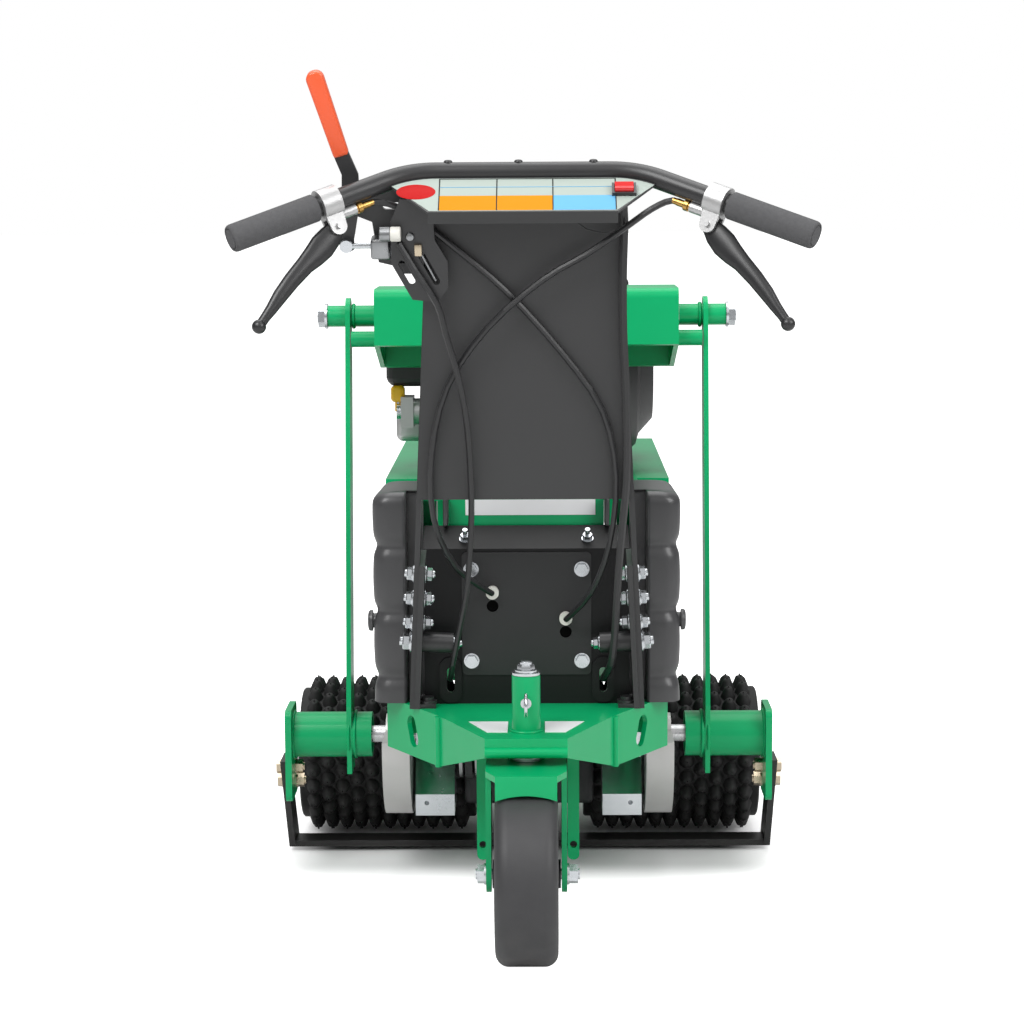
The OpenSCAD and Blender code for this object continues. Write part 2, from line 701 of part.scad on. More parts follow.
// Moulded side covers with horizontal swages
cover_low = frame_top;
cover_in = 146;
cover_front = deck_wide_y - 4;
cover_rear = -body_back + 2;
cover_r = 16;
swage_z = [cover_low + 62, cover_low + 128, cover_low + 194];
swage_d = 12;
module side_cover() difference() {
    soft_block([cover_in - 2 * cover_r, cover_rear, cover_low - cover_r], [cover_x, cover_front, cover_top], cover_r);
    block([cover_in - 3 * cover_r, cover_rear - 1, cover_low - 2 * cover_r], [cover_x + 1, cover_front + 1, cover_low]);
    block([cover_in - 3 * cover_r, cover_rear - 1, cover_low - 1], [cover_in, cover_front + 1, cover_top + 1]);
    block([cover_in - 1, cover_rear + cover_wall, cover_low - 1],
        [cover_x - cover_wall, cover_front - cover_wall, cover_top - cover_r]);
    translate([0, shaft_y, shaft_z]) rod_x(cover_in - 3 * cover_r, weight_out + swing_gap / 2, 2 * (weight_r + swing_gap));
    for (z = swage_z) {
        translate([cover_x + swage_d / 2 - 2.5, 0, z]) rod_y(cover_rear - 1, cover_front + 1, swage_d);
        translate([0, cover_rear - swage_d / 2 + 2.5, z]) rod_x(cover_in - 1, cover_x + 1, swage_d);
    }
}
module left_side_cover() color(black) in_place() mirror([1, 0, 0]) side_cover();
module right_side_cover() color(black) in_place() side_cover();

// Rear cover: folded sheet with two framed cable slots
rear_x = 121;
rear_fold = 440;
rear_top = deck_z - 34;
port_slot_x = 90;
port_slot_z = 284;
module rear_cover() color(black) in_place() difference() {
    union() {
        yz_plate(-rear_x, rear_x) polygon([
            [-body_back, frame_top], [-body_back, rear_fold], [deck_back - deck_t - 5, rear_top],
            [deck_back - deck_t - 1, rear_top - 2], [-body_back + cover_wall, rear_fold - 2],
            [-body_back + cover_wall, frame_top]
        ]);
        both() xz_plate(-body_back - 4, -body_back) translate([port_slot_x, port_slot_z]) difference() {
            round_rect(26, 54, 12);
            rotate(90) slot(30, 9);
        }
    }
    both() xz_plate(-body_back - 5, -body_back + cover_wall + 1)
        translate([port_slot_x, port_slot_z]) rotate(90) slot(30, 9);
}

// Steel plate over the rear cover with its bolts, and the cable grommets
plate_bolt_x = 65;
fold_bolt_x = 72;
fold_tilt = atan2(rear_top - rear_fold, deck_back - deck_t - 5 + body_back);
plate_bolt_z = [307, 416];
plate_x = 76;
plate_z = [290, 436];
plate_t = 2;
port_l = [-40, 389];
port_r = [46, 358];
port_d = 12;
keyhole_d = 14;
module cover_plate() color(charcoal) in_place() difference() {
    xz_plate(-body_back - plate_t, -body_back)
        translate([0, (plate_z[0] + plate_z[1]) / 2]) round_rect(2 * plate_x, plate_z[1] - plate_z[0], 6);
    for (p = [port_l, port_r]) {
        translate([p.x, -body_back, p.y]) rod_y(-plate_t - 1, 1, port_d);
        translate([p.x, -body_back, p.y - 17]) rod_y(-plate_t - 1, 1, keyhole_d);
    }
}

dome_x = 119;
dome_y = -526;
module body_bolts() color(zinc) in_place() {
    for (p = foot_holes) translate([p.x, p.y, 0]) {
        rod_z(deck_z, deck_z + foot_h + 2, hole_d - 2 * fit_gap);
        rod_z(deck_z + foot_h, deck_z + foot_h + 2, 18);
        hex_z(deck_z + foot_h + 2, deck_z + foot_h + 8, 13);
    }
    both() for (z = plate_bolt_z) translate([plate_bolt_x, -body_back - plate_t, z]) {
        rod_y(-2, 0, 18);
        rotate([90, 0, 0]) hex_z(2, 8, 13);
    }
    both() translate([fold_bolt_x, -body_back, rear_fold]) rotate([fold_tilt, 0, 0]) translate([0, 16, 0]) {
        rod_z(0, 2, 14);
        hex_z(2, 8, 10);
        rod_z(8, 16, 6);
    }
}

module grommets() color([0.85, 0.84, 0.8]) in_place() for (p = [port_l, port_r])
    translate([p.x, -body_back - plate_t, p.y]) {
        rod_y(-10, 0, port_d + 3);
        rod_y(-1, plate_t, port_d - 2 * fit_gap);
    }

// Engine: crankcase with bolted foot, finned cylinder, fan housing, tank and silencers
case_left = -48;
case_right = 88;
case_rear = crank_y - 100;
case_fore = crank_y + 92;
foot_h = 12;
foot_w = 22;
foot_holes = [for (x = [case_left + 20, case_right - 20], y = [case_rear - foot_w / 2, case_fore + foot_w / 2]) [x, y]];
module crankcase() color([0.22, 0.22, 0.23]) in_place() difference() {
    union() {
        block([case_left + 6, case_rear - foot_w, deck_z], [case_right - 6, case_fore + foot_w, deck_z + foot_h]);
        soft_block([case_left, case_rear, deck_z + 2], [case_right, case_fore, crank_z + 52], 14);
        translate([0, crank_y, crank_z]) rod_x(case_left - 10, case_left + 4, 92);
        translate([20, case_rear + 4, deck_z + 42]) rod_y(-14, 4, 26);
        on_head() rod_z(-24, base_h, 96);
    }
    translate([0, crank_y, crank_z]) rod_x(case_left - 12, case_right + 1, crank_d + 2 * run_gap);
    for (p = foot_holes) translate([p.x, p.y, 0]) rod_z(deck_z - 1, deck_z + foot_h + 1, hole_d);
}

fin_n = 8;
fin_pitch = 11;
head_tilt = 65;
base_h = 20;
module on_head() {
    translate([(case_left + case_right) / 2, case_fore + 1, crank_z + 12]) rotate([-head_tilt, 0, 0]) children();
}
module cylinder_block() color(steel) in_place() on_head() {
        rod_z(base_h, fin_n * fin_pitch + 24, 84);
        for (i = [0 : fin_n - 1]) translate([0, 0, 30 + i * fin_pitch])
            linear_extrude(4) round_rect(118, i < 5 ? 92 : 104, 10);
        translate([0, 0, fin_n * fin_pitch + 24]) linear_extrude(20) round_rect(104, 92, 12);
        translate([30, 0, fin_n * fin_pitch + 44]) rod_z(0, 34, 14);
        translate([30, 0, fin_n * fin_pitch + 44]) hex_z(0, 8, 20);
    }

fan_r = 108;
fan_in = case_right;
fan_out = 166;
vent_n = 12;
rope_x = 124;
rope_y = -52;
rope_d = 5;
module fan_housing() color(black) in_place() translate([0, crank_y, crank_z + 10]) difference() {
    rotate([0, 90, 0]) rotate_extrude() polygon([
        [0, fan_in], [fan_r, fan_in], [fan_r, fan_out - 34], [fan_r - 12, fan_out - 22],
        [fan_r - 26, fan_out - 18], [62, fan_out], [0, fan_out]
    ]);
    for (k = [0 : vent_n - 1]) rotate([k * 360 / vent_n, 0, 0])
        yz_plate(fan_out - 6, fan_out + 1) translate([0, 44]) rotate(90) slot(26, 8);
    translate([rope_x, rope_y, 0]) rod_z(-70, fan_r, rope_d + 2);
    translate([rope_x, rope_y, 0]) rod_z(84, fan_r + 1, 24);
}

tank_x = [-66, 108];
tank_y = [-150, 40];
tank_z = [crank_z + 122, crank_z + 190];
module fuel_tank() color(black) in_place() {
    difference() {
        soft_block([tank_x[0], tank_y[0], tank_z[0]], [tank_x[1], tank_y[1], tank_z[1]], 20);
        translate([60, -60, 0]) rod_z(tank_z[1] - 12, tank_z[1] + 1, 40);
    }
    translate([60, -60, 0]) {
        rod_z(tank_z[1] - 12, tank_z[1] + 4, 40 - 2 * fit_gap);
        translate([0, 0, tank_z[1] + 4]) linear_extrude(12) union() {
            circle(d = 50);
            for (k = [0 : 7]) rotate(k * 45) translate([24, 0]) circle(d = 8);
        }
    }
    for (x = [-30, 50]) block([x, -70, crank_z + 52], [x + 24, -40, tank_z[0] + 4]);
}

cleaner_x = [-184, -94];
cleaner_y = [-172, -84];
cleaner_z = [deck_z + 106, deck_z + 196];
module air_cleaner() color(black) in_place() {
    soft_block([cleaner_x[0], cleaner_y[0], cleaner_z[0]], [cleaner_x[1], cleaner_y[1], cleaner_z[1] - 14], 14);
    translate([(cleaner_x[0] + cleaner_x[1]) / 2, (cleaner_y[0] + cleaner_y[1]) / 2, 0]) {
        rod_z(cleaner_z[1] - 15, cleaner_z[1] - 4, 76);
        rod_z(cleaner_z[1] - 5, cleaner_z[1] + 6, 22);
    }
}

carb_y = -164;
module carburettor() color([0.62, 0.63, 0.64]) in_place() {
    translate([0, carb_y, deck_z + 74]) rod_x(-150, case_left, 34);
    translate([-118, carb_y, 0]) rod_z(deck_z + 40, cleaner_z[0], 40);
    translate([-118, carb_y, 0]) rod_z(deck_z + 30, deck_z + 41, 26);
    block([-164, carb_y - 20, deck_z + 54], [-148, carb_y + 20, deck_z + 94]);
}

muffler_y = [64, 170];
module muffler() color(steel) in_place() {
    translate([-102, 0, deck_z + 112]) rotate([-90, 0, 0]) translate([0, 0, muffler_y[0]])
        linear_extrude(muffler_y[1] - muffler_y[0]) round_rect(92, 84, 26);
    translate([0, (muffler_y[0] + muffler_y[1]) / 2, deck_z + 112]) rod_x(-60, -39.5, 30);
    translate([-102, muffler_y[1], deck_z + 112]) rod_y(-1, 26, 22);
}

// Crankshaft with the engine pulley, and the belt down to the blade shaft
crank_out = belt_x - pulley_w / 2 - 2;
module crankshaft() color(steel) in_place() translate([0, crank_y, crank_z]) {
    rod_x(crank_out, case_right - 4, crank_d);
    translate([belt_x, 0, 0]) pulley(engine_pulley_d, crank_d - 2);
    hex_x(crank_out - 6, crank_out, 14);
}

// Belt round both pulleys: straight runs on the outer tangents
belt_w = 9;
belt_t = 8;
belt_gap = 0.5;
belt_run = [shaft_y - crank_y, shaft_z - crank_z];
belt_len = norm(belt_run);
belt_ra = engine_pulley_d / 2 - groove + 3 + belt_gap;
belt_rb = blade_pulley_d / 2 - groove + 3 + belt_gap;
belt_lean = asin((belt_rb - belt_ra) / belt_len);
belt_turn = atan2(belt_run.y, belt_run.x);

// Outline of the belt loop at a height over its inner face
belt_steps = 24;
function belt_outline(h) = concat(
    [for (k = [0 : belt_steps]) let (a = 90 + belt_lean + k * (180 - 2 * belt_lean) / belt_steps)
        (belt_ra + h) * [cos(a), sin(a)]],
    [for (k = [0 : belt_steps]) let (a = 270 - belt_lean + k * (180 + 2 * belt_lean) / belt_steps)
        [belt_len, 0] + (belt_rb + h) * [cos(a), sin(a)]]
);
module drive_belt() color(rubber) in_place() translate([belt_x, crank_y, crank_z])
    rotate([90, 0, 90]) rotate([0, 0, belt_turn]) difference() {
        translate([0, 0, -belt_w / 2]) linear_extrude(belt_w) polygon(belt_outline(belt_t));
        translate([0, 0, -belt_w]) linear_extrude(2 * belt_w) polygon(belt_outline(0));
    }

// Recoil handle on its rope
rope_len = 150;
module recoil_handle() color(black) in_place()
    translate([rope_x, crank_y + rope_y, crank_z + 10]) {
        top = fan_r + 6;
        rod_z(top - rope_len, top, rope_d);
        rod_z(top, top + 8, 14);
        translate([0, 0, top + 8]) rotate([90, 0, 0]) {
            rod_z(-32, 32, 17);
            for (s = [-1, 1]) translate([0, 0, s * 32]) sphere(d = 17);
        }
    }

// Throttle lever on the carburettor
module throttle_lever() color(zinc) in_place() translate([-166, carb_y, deck_z + 74]) {
    rod_x(-4, 2 - free_gap, 22);
    yz_plate(-4, -1) {
        polygon([[-5, 0], [5, 0], [3, 20], [-3, 20]]);
        translate([0, 20]) circle(5);
    }
}
// Mast: two flat uprights leaning to the rear, bolted to brackets on the frame
mast_y = -516;
upright_t = 6;
bar_y = mast_y - (bar_z - frame_top) * tan(mast_lean);
mast_len = (bar_z - 4 - frame_top) / cos(mast_lean) / cos(mast_slant);
adjust_z = [108, 139, 170];
hinge_z = 83;
bracket_top = 190;
upright_in = foot_x - upright_t;

// Frame of the leaning mast plane: x across, z up along the mast
module on_lean() { translate([0, mast_y, frame_top]) rotate([mast_lean, 0, 0]) children(); }

// Frame of the right upright: its inner face is x = 0
module on_mast() { on_lean() translate([upright_in, 0, 0]) rotate([0, -mast_slant, 0]) children(); }

module upright() difference() {
    on_mast() difference() {
        block([0, -upright_d / 2, 4], [upright_t, upright_d / 2, mast_len]);
        for (z = concat(adjust_z, hinge_z)) translate([0, 0, z]) rod_x(-1, upright_t + 1, hole_d + 1 + 2 * fit_gap);
    }
    translate([0, bar_y, bar_z]) rod_x(0, foot_x, bar_d + 4 * free_gap);
    on_bar() block([0, 0, -bar_d], [foot_x, panel_low, panel_t / 2 + fit_gap]);
}
module uprights() color(black) in_place() both() upright();

bracket_t = 6;
module mast_bracket() difference() {
    union() {
        on_mast() difference() {
            block([-bracket_t - fit_gap, -24, -20], [-fit_gap, 24, bracket_top]);
            for (z = concat(adjust_z, hinge_z))
                translate([0, 0, z]) rod_x(-bracket_t - 1, 1, hole_d + 1 + 2 * fit_gap);
        }
        on_mast() translate([0, 0, hinge_z]) difference() {
            rod_x(-42, -bracket_t, 24);
            rod_x(-43, 1, hole_d + 1 + 2 * fit_gap);
        }
        block([dome_x - 12, dome_y - 12, frame_top], [upright_in - bracket_t, dome_y + 12, frame_top + 5]);
        translate([dome_x - 2, dome_y, frame_top + 5]) {
            rod_z(-1, 3, 22);
            rod_z(2, 7, 15);
        }
    }
    block([0, mast_y - 80, frame_top - 40], [foot_x + 20, mast_y + 80, frame_top]);
}
module mast_brackets() color(black) in_place() both() mast_bracket();

module handle_bolts() color(zinc) in_place() {
    mirror([1, 0, 0]) on_mast() for (z = flange_bolts) translate([0, 0, z]) {
        rod_x(upright_t + flange_t, upright_t + flange_t + 2, 12);
        hex_x(upright_t + flange_t + 2, upright_t + flange_t + 6, 10);
    }
    both() mast_bolts();
}

// Bolts of one upright: three that set its height and the long one under them
module mast_bolts() on_mast() {
    for (z = adjust_z) translate([0, 0, z]) {
        rod_x(-bracket_t - 9, upright_t + 4, hole_d + 1);
        rod_x(upright_t, upright_t + 2, 20);
        hex_x(upright_t + 2, upright_t + 9, 16);
        hex_x(-bracket_t - 9, -bracket_t - fit_gap, 16);
    }
    translate([0, 0, hinge_z]) {
        rod_x(-44, upright_t + 4, hole_d + 1);
        rod_x(upright_t, upright_t + 3, 26);
        hex_x(upright_t + 3, upright_t + 14, 21);
        hex_x(-50, -42, 16);
    }
}

// Sheet shield on the rear edges of the uprights
shield_z = [271, 604];
shield_t = 2;
function upright_out(z) = foot_x - 1 - z * sin(mast_slant);
module handle_shield() color(charcoal) in_place() on_lean()
    xz_plate(-upright_d / 2 - shield_t, -upright_d / 2) polygon([
        [-upright_out(shield_z[0]), shield_z[0]], [upright_out(shield_z[0]), shield_z[0]],
        [upright_out(shield_z[1]), shield_z[1]], [-upright_out(shield_z[1]), shield_z[1]]
    ]);

// Handlebar in its own plane: x across, y down towards the operator
module on_bar() { translate([0, bar_y, bar_z]) rotate([180 + bar_tilt, 0, 0]) children(); }
arm_start = [bar_half + bar_bend * sin(bar_turn), bar_bend * (1 - cos(bar_turn))];

// Frame of the right handlebar arm: x along the arm, z up in the lever's plane
lever_roll = 140;
module on_arm() {
    on_bar() translate([arm_start.x, arm_start.y, 0]) rotate([0, 0, bar_turn]) rotate([lever_roll, 0, 0]) children();
}
bar_seam = 0.02;
module handlebar() color(black) in_place() {
    both() {
        on_bar() rod_x(0, bar_half, bar_d);
        on_bar() translate([bar_half, bar_bend, 0]) rotate([0, 0, -90])
            rotate_extrude(angle = bar_turn) translate([bar_bend, 0]) circle(d = bar_d);
        on_arm() rod_x(bar_seam, bar_arm, bar_d);
    }
}

grip_start = bar_arm - grip_len + 4;
module grips() color(charcoal) in_place() both() on_arm() {
    difference() {
        rod_x(grip_start, bar_arm + 4, grip_d);
        rod_x(grip_start - 1, bar_arm + fit_gap, bar_d + 2 * fit_gap);
    }
    translate([bar_arm + 4, 0, 0]) rotate([0, 90, 0]) rotate_extrude()
        polygon([[0, 0], [grip_d / 2, 0], [grip_d / 2 - 2, 3], [grip_d / 2 - 6, 5], [0, 5]]);
}

// Control panel between the bends, with a bent front lip and a switch bezel
panel_t = 3;
panel_low = 74;
panel_x = 101;
lip_h = 14;
inner_bend = bar_bend - bar_d / 2 - fit_gap;
bend_steps = 6;
bend_points = [for (k = [0 : bend_steps])
    let (a = bar_turn * k / bend_steps)
    [bar_half + inner_bend * sin(a), bar_bend - inner_bend * cos(a)]];
module panel_half() polygon(concat([[0, bar_bend - inner_bend]], bend_points, [[panel_x, panel_low], [0, panel_low]]));
switch_at = [108, 38];
switch_w = [20, 13];
bezel_h = 6;
rocker_gap = 0.6;
module control_panel() color([0.82, 0.9, 0.84]) in_place() on_bar() difference() {
    union() {
        both() translate([0, 0, -panel_t / 2]) linear_extrude(panel_t) panel_half();
        block([-panel_x, panel_low - panel_t, -panel_t / 2], [panel_x, panel_low, lip_h]);
        translate([switch_at.x, switch_at.y, -bezel_h]) linear_extrude(bezel_h) square(switch_w + [6, 6], center = true);
    }
    translate([switch_at.x, switch_at.y, -bezel_h - 1]) linear_extrude(bezel_h + 1)
        square(switch_w + [2 * rocker_gap, 2 * rocker_gap], center = true);
}

// Rocker of the stop switch: it tips about its own long middle line
rocker_r = switch_w.y / 2;
module stop_switch() color([0.8, 0.1, 0.08]) in_place() on_bar() translate([switch_at.x, switch_at.y, -bezel_h])
    yz_plate(-switch_w.x / 2, switch_w.x / 2) intersection() {
        circle(rocker_r);
        polygon([[-rocker_r, 1], [rocker_r, 1], [rocker_r, -4], [0, -2.5], [-rocker_r, -6]]);
    }

// Lever perches and cast hand levers
perch = [60, 82];
lever_at = [72, -27];
lever_pin_d = 6;
lever_t = 11;
perch_t = 4;
module lever_perch() on_arm() difference() {
    union() {
        rod_x(perch[0], perch[1], bar_d + 12);
        for (s = [-1, 1]) translate([0, s * (lever_t / 2 + free_gap + perch_t / 2), 0]) rotate([90, 0, 0])
            translate([0, 0, -perch_t / 2]) linear_extrude(perch_t) {
                polygon([[perch[0], 0], [perch[1], 0], [lever_at.x + 9, lever_at.y], [lever_at.x - 9, lever_at.y]]);
                translate(lever_at) circle(9);
            }
        translate([lever_at.x, 0, lever_at.y]) rod_y(-lever_t / 2 - 8, lever_t / 2 + 8, lever_pin_d);
        translate([perch[0] - 16, 0, -16]) rod_x(0, 18, 12);
    }
    rod_x(perch[0] - 20, perch[1] + 1, bar_d + 2 * fit_gap);
}
module lever_perches() color(zinc) in_place() both() lever_perch();

lever_tip = [200, -92];
module hand_lever() on_arm() difference() {
    union() {
        rotate([90, 0, 0]) translate([0, 0, -lever_t / 2]) linear_extrude(lever_t) {
            translate(lever_at) circle(8);
            polygon([
                lever_at + [-6, -6], lever_at + [16, -14], lever_at + [60, -32], lever_tip + [-30, -1],
                lever_tip + [-3, -3], lever_tip + [2, 4], lever_tip + [-30, 12], lever_at + [64, -18],
                lever_at + [26, -2], lever_at + [4, 7]
            ]);
        }
        translate([lever_tip.x, 0, lever_tip.y]) sphere(d = 17);
    }
    translate([lever_at.x, 0, lever_at.y]) rod_y(-lever_t, lever_t, lever_pin_d + 2 * run_gap);
}
module left_lever() color(black) in_place() mirror([1, 0, 0]) hand_lever();
module right_lever() color(black) in_place() hand_lever();

// Slotted bracket on the left upright, and the speed lever that works the slide in it
face_y = [15, 19];
flange_t = 4;
flange_bolts = [546, 614];
lever_pivot = [-188, 611];
lever_bore = 8;
rod_at = [-194, 563];
slide_x = -139;
slide_z = rod_at.y;
slide_size = [22, 18];
slide_slot = [48, 9];
front_y = [-36, -33];
front_slots = [[-126.5, 544, 30, 7.5], [-102, 548, 40, 8]];
module lever_bracket() color(black) in_place() on_lean() {
    difference() {
        xz_plate(front_y[0], front_y[1]) polygon([
            [-143, 554], [-121, 513], [-94, 510], [-82, 526], [-82, 556], [-95.5, 580], [-98, 622],
            [-132, 626], [-143, 600]
        ]);
        for (p = front_slots) xz_plate(front_y[0] - 1, front_y[1] + 1)
            translate([p[0], p[1]]) rotate(-62) slot(p[2], p[3]);
    }
    difference() {
        xz_plate(face_y[0], face_y[1]) difference() {
            polygon([
                [-112, 528], [-160, 540], [-166, 586], [-200, 600], [-203, 612], [-196, 624], [-176, 626], [-112, 634]
            ]);
            translate([slide_x, slide_z]) slot(slide_slot.x, slide_slot.y);
            translate([-136, 604]) slot(36, 8);
        }
        translate([lever_pivot.x, 0, lever_pivot.y]) rod_y(face_y[0] - 1, face_y[1] + 1, lever_bore + 2 * fit_gap);
    }
    translate([lever_pivot.x, 0, lever_pivot.y]) {
        rod_y(face_y[0] - 9, face_y[1] + 6, lever_bore);
        rotate([90, 0, 0]) hex_z(-face_y[1] - 6, -face_y[1], 13);
        rod_y(face_y[0] - 11, face_y[0] - 7.5, 18);
    }
    block([-137, 4, 530], [-119, face_y[0], 542]);
    mirror([1, 0, 0]) translate([upright_in, 0, 0]) rotate([0, -mast_slant, 0])
        union() {
            block([upright_t, -8, 528], [upright_t + flange_t, face_y[0] + 1, 632]);
            block([upright_t, front_y[1] - 1, 528], [upright_t + flange_t, -7, 572]);
        }
}

lever_y = [face_y[0] - 6.5, face_y[0] - 1];
sleeve_at = [[-197, 664], [-222, 747]];
sleeve_w = 22;
module speed_lever() color(black) in_place() on_lean() difference() {
    xz_plate(lever_y[0], lever_y[1]) {
        polygon([
            lever_pivot + [-10, 0], lever_pivot + [-9, 30], sleeve_at[0] + [-8, -2], sleeve_at[1] + [-5, -10],
            sleeve_at[1] + [5, -8], sleeve_at[0] + [8, 2], lever_pivot + [9, 30], lever_pivot + [10, 0],
            rod_at + [8, 4], rod_at + [8, -6], rod_at + [4, -9], rod_at + [-4, -9], rod_at + [-8, -6],
            rod_at + [-8, 4]
        ]);
    }
    translate([lever_pivot.x, 0, lever_pivot.y])
        rod_y(lever_y[0] - 1, lever_y[1] + 1, lever_bore + 2 * run_gap);
    translate([rod_at.x, 0, rod_at.y]) rod_y(lever_y[0] - 1, lever_y[1] + 1, 10);
}

// Vinyl sleeve on the lever's upper end
sleeve_dir = sleeve_at[1] - sleeve_at[0];
sleeve_len = norm(sleeve_dir);
module lever_sleeve() color([0.95, 0.3, 0.12]) in_place() on_lean() difference() {
    translate([sleeve_at[0].x, (lever_y[0] + lever_y[1]) / 2, sleeve_at[0].y])
        rotate([0, atan2(sleeve_dir.x, sleeve_dir.y), 0]) intersection() {
            xz_plate(-7, 7) translate([0, sleeve_len / 2 + 3]) round_rect(sleeve_w, sleeve_len + 10, 9);
            block([-sleeve_w, -7, -2], [sleeve_w, 7, sleeve_len + 20]);
        }
    xz_plate(lever_y[0] - fit_gap, lever_y[1] + fit_gap) polygon([
        sleeve_at[0] + [-9, -12], sleeve_at[0] + [-8 - fit_gap, -2], sleeve_at[1] + [-5.6, -9],
        sleeve_at[1] + [5.6, -7], sleeve_at[0] + [8 + fit_gap, 2], sleeve_at[0] + [9, -8]
    ]);
}

// Tie rod from the lever's lower end to the slide in the slot
rod_y0 = lever_y[0] - 7;
module tie_rod() color(zinc) in_place() on_lean() {
    translate([rod_at.x, 0, rod_at.y]) {
        rod_y(rod_y0 - 4, rod_y0 + 6.6, 14);
        rod_y(rod_y0, lever_y[1] - 1, 5);
    }
    translate([0, rod_y0, slide_z]) rod_x(rod_at.x, slide_x, 6);
    translate([slide_x, 0, slide_z]) {
        block([-slide_size.x / 2, rod_y0 - 6, -slide_size.y / 2], [slide_size.x / 2, face_y[0] - 1, slide_size.y / 2]);
        rod_y(face_y[0] - 2, face_y[1] + 4, slide_slot.y - 2);
        rod_y(face_y[1] + 1, face_y[1] + 4, 16);
    }
}

// Control cables: round sweeps through hand-chosen points in the mast's leaning frame
cable_d = 7;
loom_d = 9;
cable_sides = 8;
cable_steps = 3;
function unit(v) = v / norm(v);
function spline(a, b, c, d, t) =
    0.5 * (2 * b + (c - a) * t + (2 * a - 5 * b + 4 * c - d) * t * t + (3 * b - a - 3 * c + d) * t * t * t);
function smooth(p) = concat(
    [for (i = [0 : len(p) - 2], k = [0 : cable_steps - 1])
        spline(p[max(i - 1, 0)], p[i], p[i + 1], p[min(i + 2, len(p) - 1)], k / cable_steps)],
    [p[len(p) - 1]]
);
function tangent(p, i) = unit(p[min(i + 1, len(p) - 1)] - p[max(i - 1, 0)]);
function square_to(n, t) = unit(n - t * (n * t));
function normals(p) =
    [for (i = 0, n = square_to([0.31, 0.83, 0.47], tangent(p, 0)); i < len(p);
        i = i + 1, n = i < len(p) ? square_to(n, tangent(p, i)) : n) n];
module cable(route, d) {
    p = smooth(route);
    n = normals(p);
    s = cable_sides;
    points = [for (i = [0 : len(p) - 1], k = [0 : s - 1])
        let (t = tangent(p, i), a = 360 * k / s)
        p[i] + d / 2 * (n[i] * cos(a) + cross(t, n[i]) * sin(a))];
    faces = concat(
        [[for (k = [0 : s - 1]) k]],
        [for (i = [0 : len(p) - 2], k = [0 : s - 1])
            let (a = i * s + k, b = i * s + (k + 1) % s)
            each [[a, a + s, b], [b, a + s, b + s]]],
        [[for (k = [s - 1 : -1 : 0]) (len(p) - 1) * s + k]]
    );
    polyhedron(points, faces);
}
left_route = [
    [-179, -41, 617], [-160, -30, 621], [-138, -27, 616], [-112, -27, 600], [-70, -27, 565], [-20, -27, 520],
    [40, -27, 450], [86, -27, 380], [102, -27, 300], [95, -24, 215], [75, -10, 150], [46, 17.5, 102]
];
right_route = [
    [179, -41, 617], [160, -30, 621], [138, -34, 613], [112, -40, 596], [70, -40, 566], [20, -38, 535],
    [-40, -36, 480], [-85, -30, 410], [-104, -27, 330], [-104, -25, 250], [-80, -6, 180], [-40, 26, 132]
];
speed_route = [
    [-134, -39.5, 578], [-117, -43, 549], [-94, -42.5, 509], [-86, -42, 477], [-73, -40, 426], [-64, -35, 365],
    [-61, -28, 290], [-62, -26, 235], [-68, -23, 160], [-79, -21, 100], [-86, -18, 62], [-90, 5, 31]
];
loom_route = [
    [108, -35.4, 630], [108, -30, 615], [109, -28, 590], [108, -28, 535], [109, -28, 470], [113, -28, 390],
    [114, -28, 300], [108, -28, 220], [104, -26, 150], [102, -23, 100], [98, -19, 62], [90, 4, 32]
];
module lever_cables() color(black) in_place() on_lean() {
    cable(left_route, cable_d);
    cable(right_route, cable_d);
}
module speed_cable() color(black) in_place() on_lean() cable(speed_route, cable_d);
module switch_loom() color(black) in_place() on_lean() cable(loom_route, loom_d);

rear_frame();
swivel_tube();
rails();
engine_deck();
posts();
pivot_beam();
pivot_bolts();
front_guard();
left_side_cover();
right_side_cover();
rear_cover();
cover_plate();
body_bolts();
grommets();
mast_brackets();
uprights();
handle_bolts();
handle_shield();
handlebar();
control_panel();
grips();
lever_perches();
lever_bracket();
transaxle_case();
bearing_blocks();
crankcase();
cylinder_block();
fan_housing();
fuel_tank();
air_cleaner();
carburettor();
muffler();
drive_belt();
lever_cables();
speed_cable();
switch_loom();
caster_fork();
caster_stem();
caster_axle();
caster_hub();
caster_tyre();
axle_shaft();
drum_cores();
left_tread();
right_tread();
swing_arms();
blade();
blade_bolts();
blade_shaft();
counterweights();
crankshaft();
left_lever();
right_lever();
speed_lever();
lever_sleeve();
tie_rod();
stop_switch();
throttle_lever();
recoil_handle();
lock_pin();
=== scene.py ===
import math

import bmesh
import bpy
from mathutils import Matrix, Vector


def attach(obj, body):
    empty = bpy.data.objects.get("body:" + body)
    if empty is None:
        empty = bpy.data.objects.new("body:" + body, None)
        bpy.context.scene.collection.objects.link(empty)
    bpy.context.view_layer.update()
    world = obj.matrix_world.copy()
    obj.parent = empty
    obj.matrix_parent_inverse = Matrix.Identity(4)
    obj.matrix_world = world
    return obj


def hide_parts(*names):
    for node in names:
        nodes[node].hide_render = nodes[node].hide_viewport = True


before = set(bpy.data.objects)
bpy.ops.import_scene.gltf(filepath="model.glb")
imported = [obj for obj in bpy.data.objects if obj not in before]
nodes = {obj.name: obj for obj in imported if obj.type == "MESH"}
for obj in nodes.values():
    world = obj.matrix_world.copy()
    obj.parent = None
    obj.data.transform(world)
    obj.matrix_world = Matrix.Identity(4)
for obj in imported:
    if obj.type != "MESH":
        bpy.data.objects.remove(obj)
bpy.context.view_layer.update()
scene = bpy.context.scene
print("solids in place:", len(nodes))


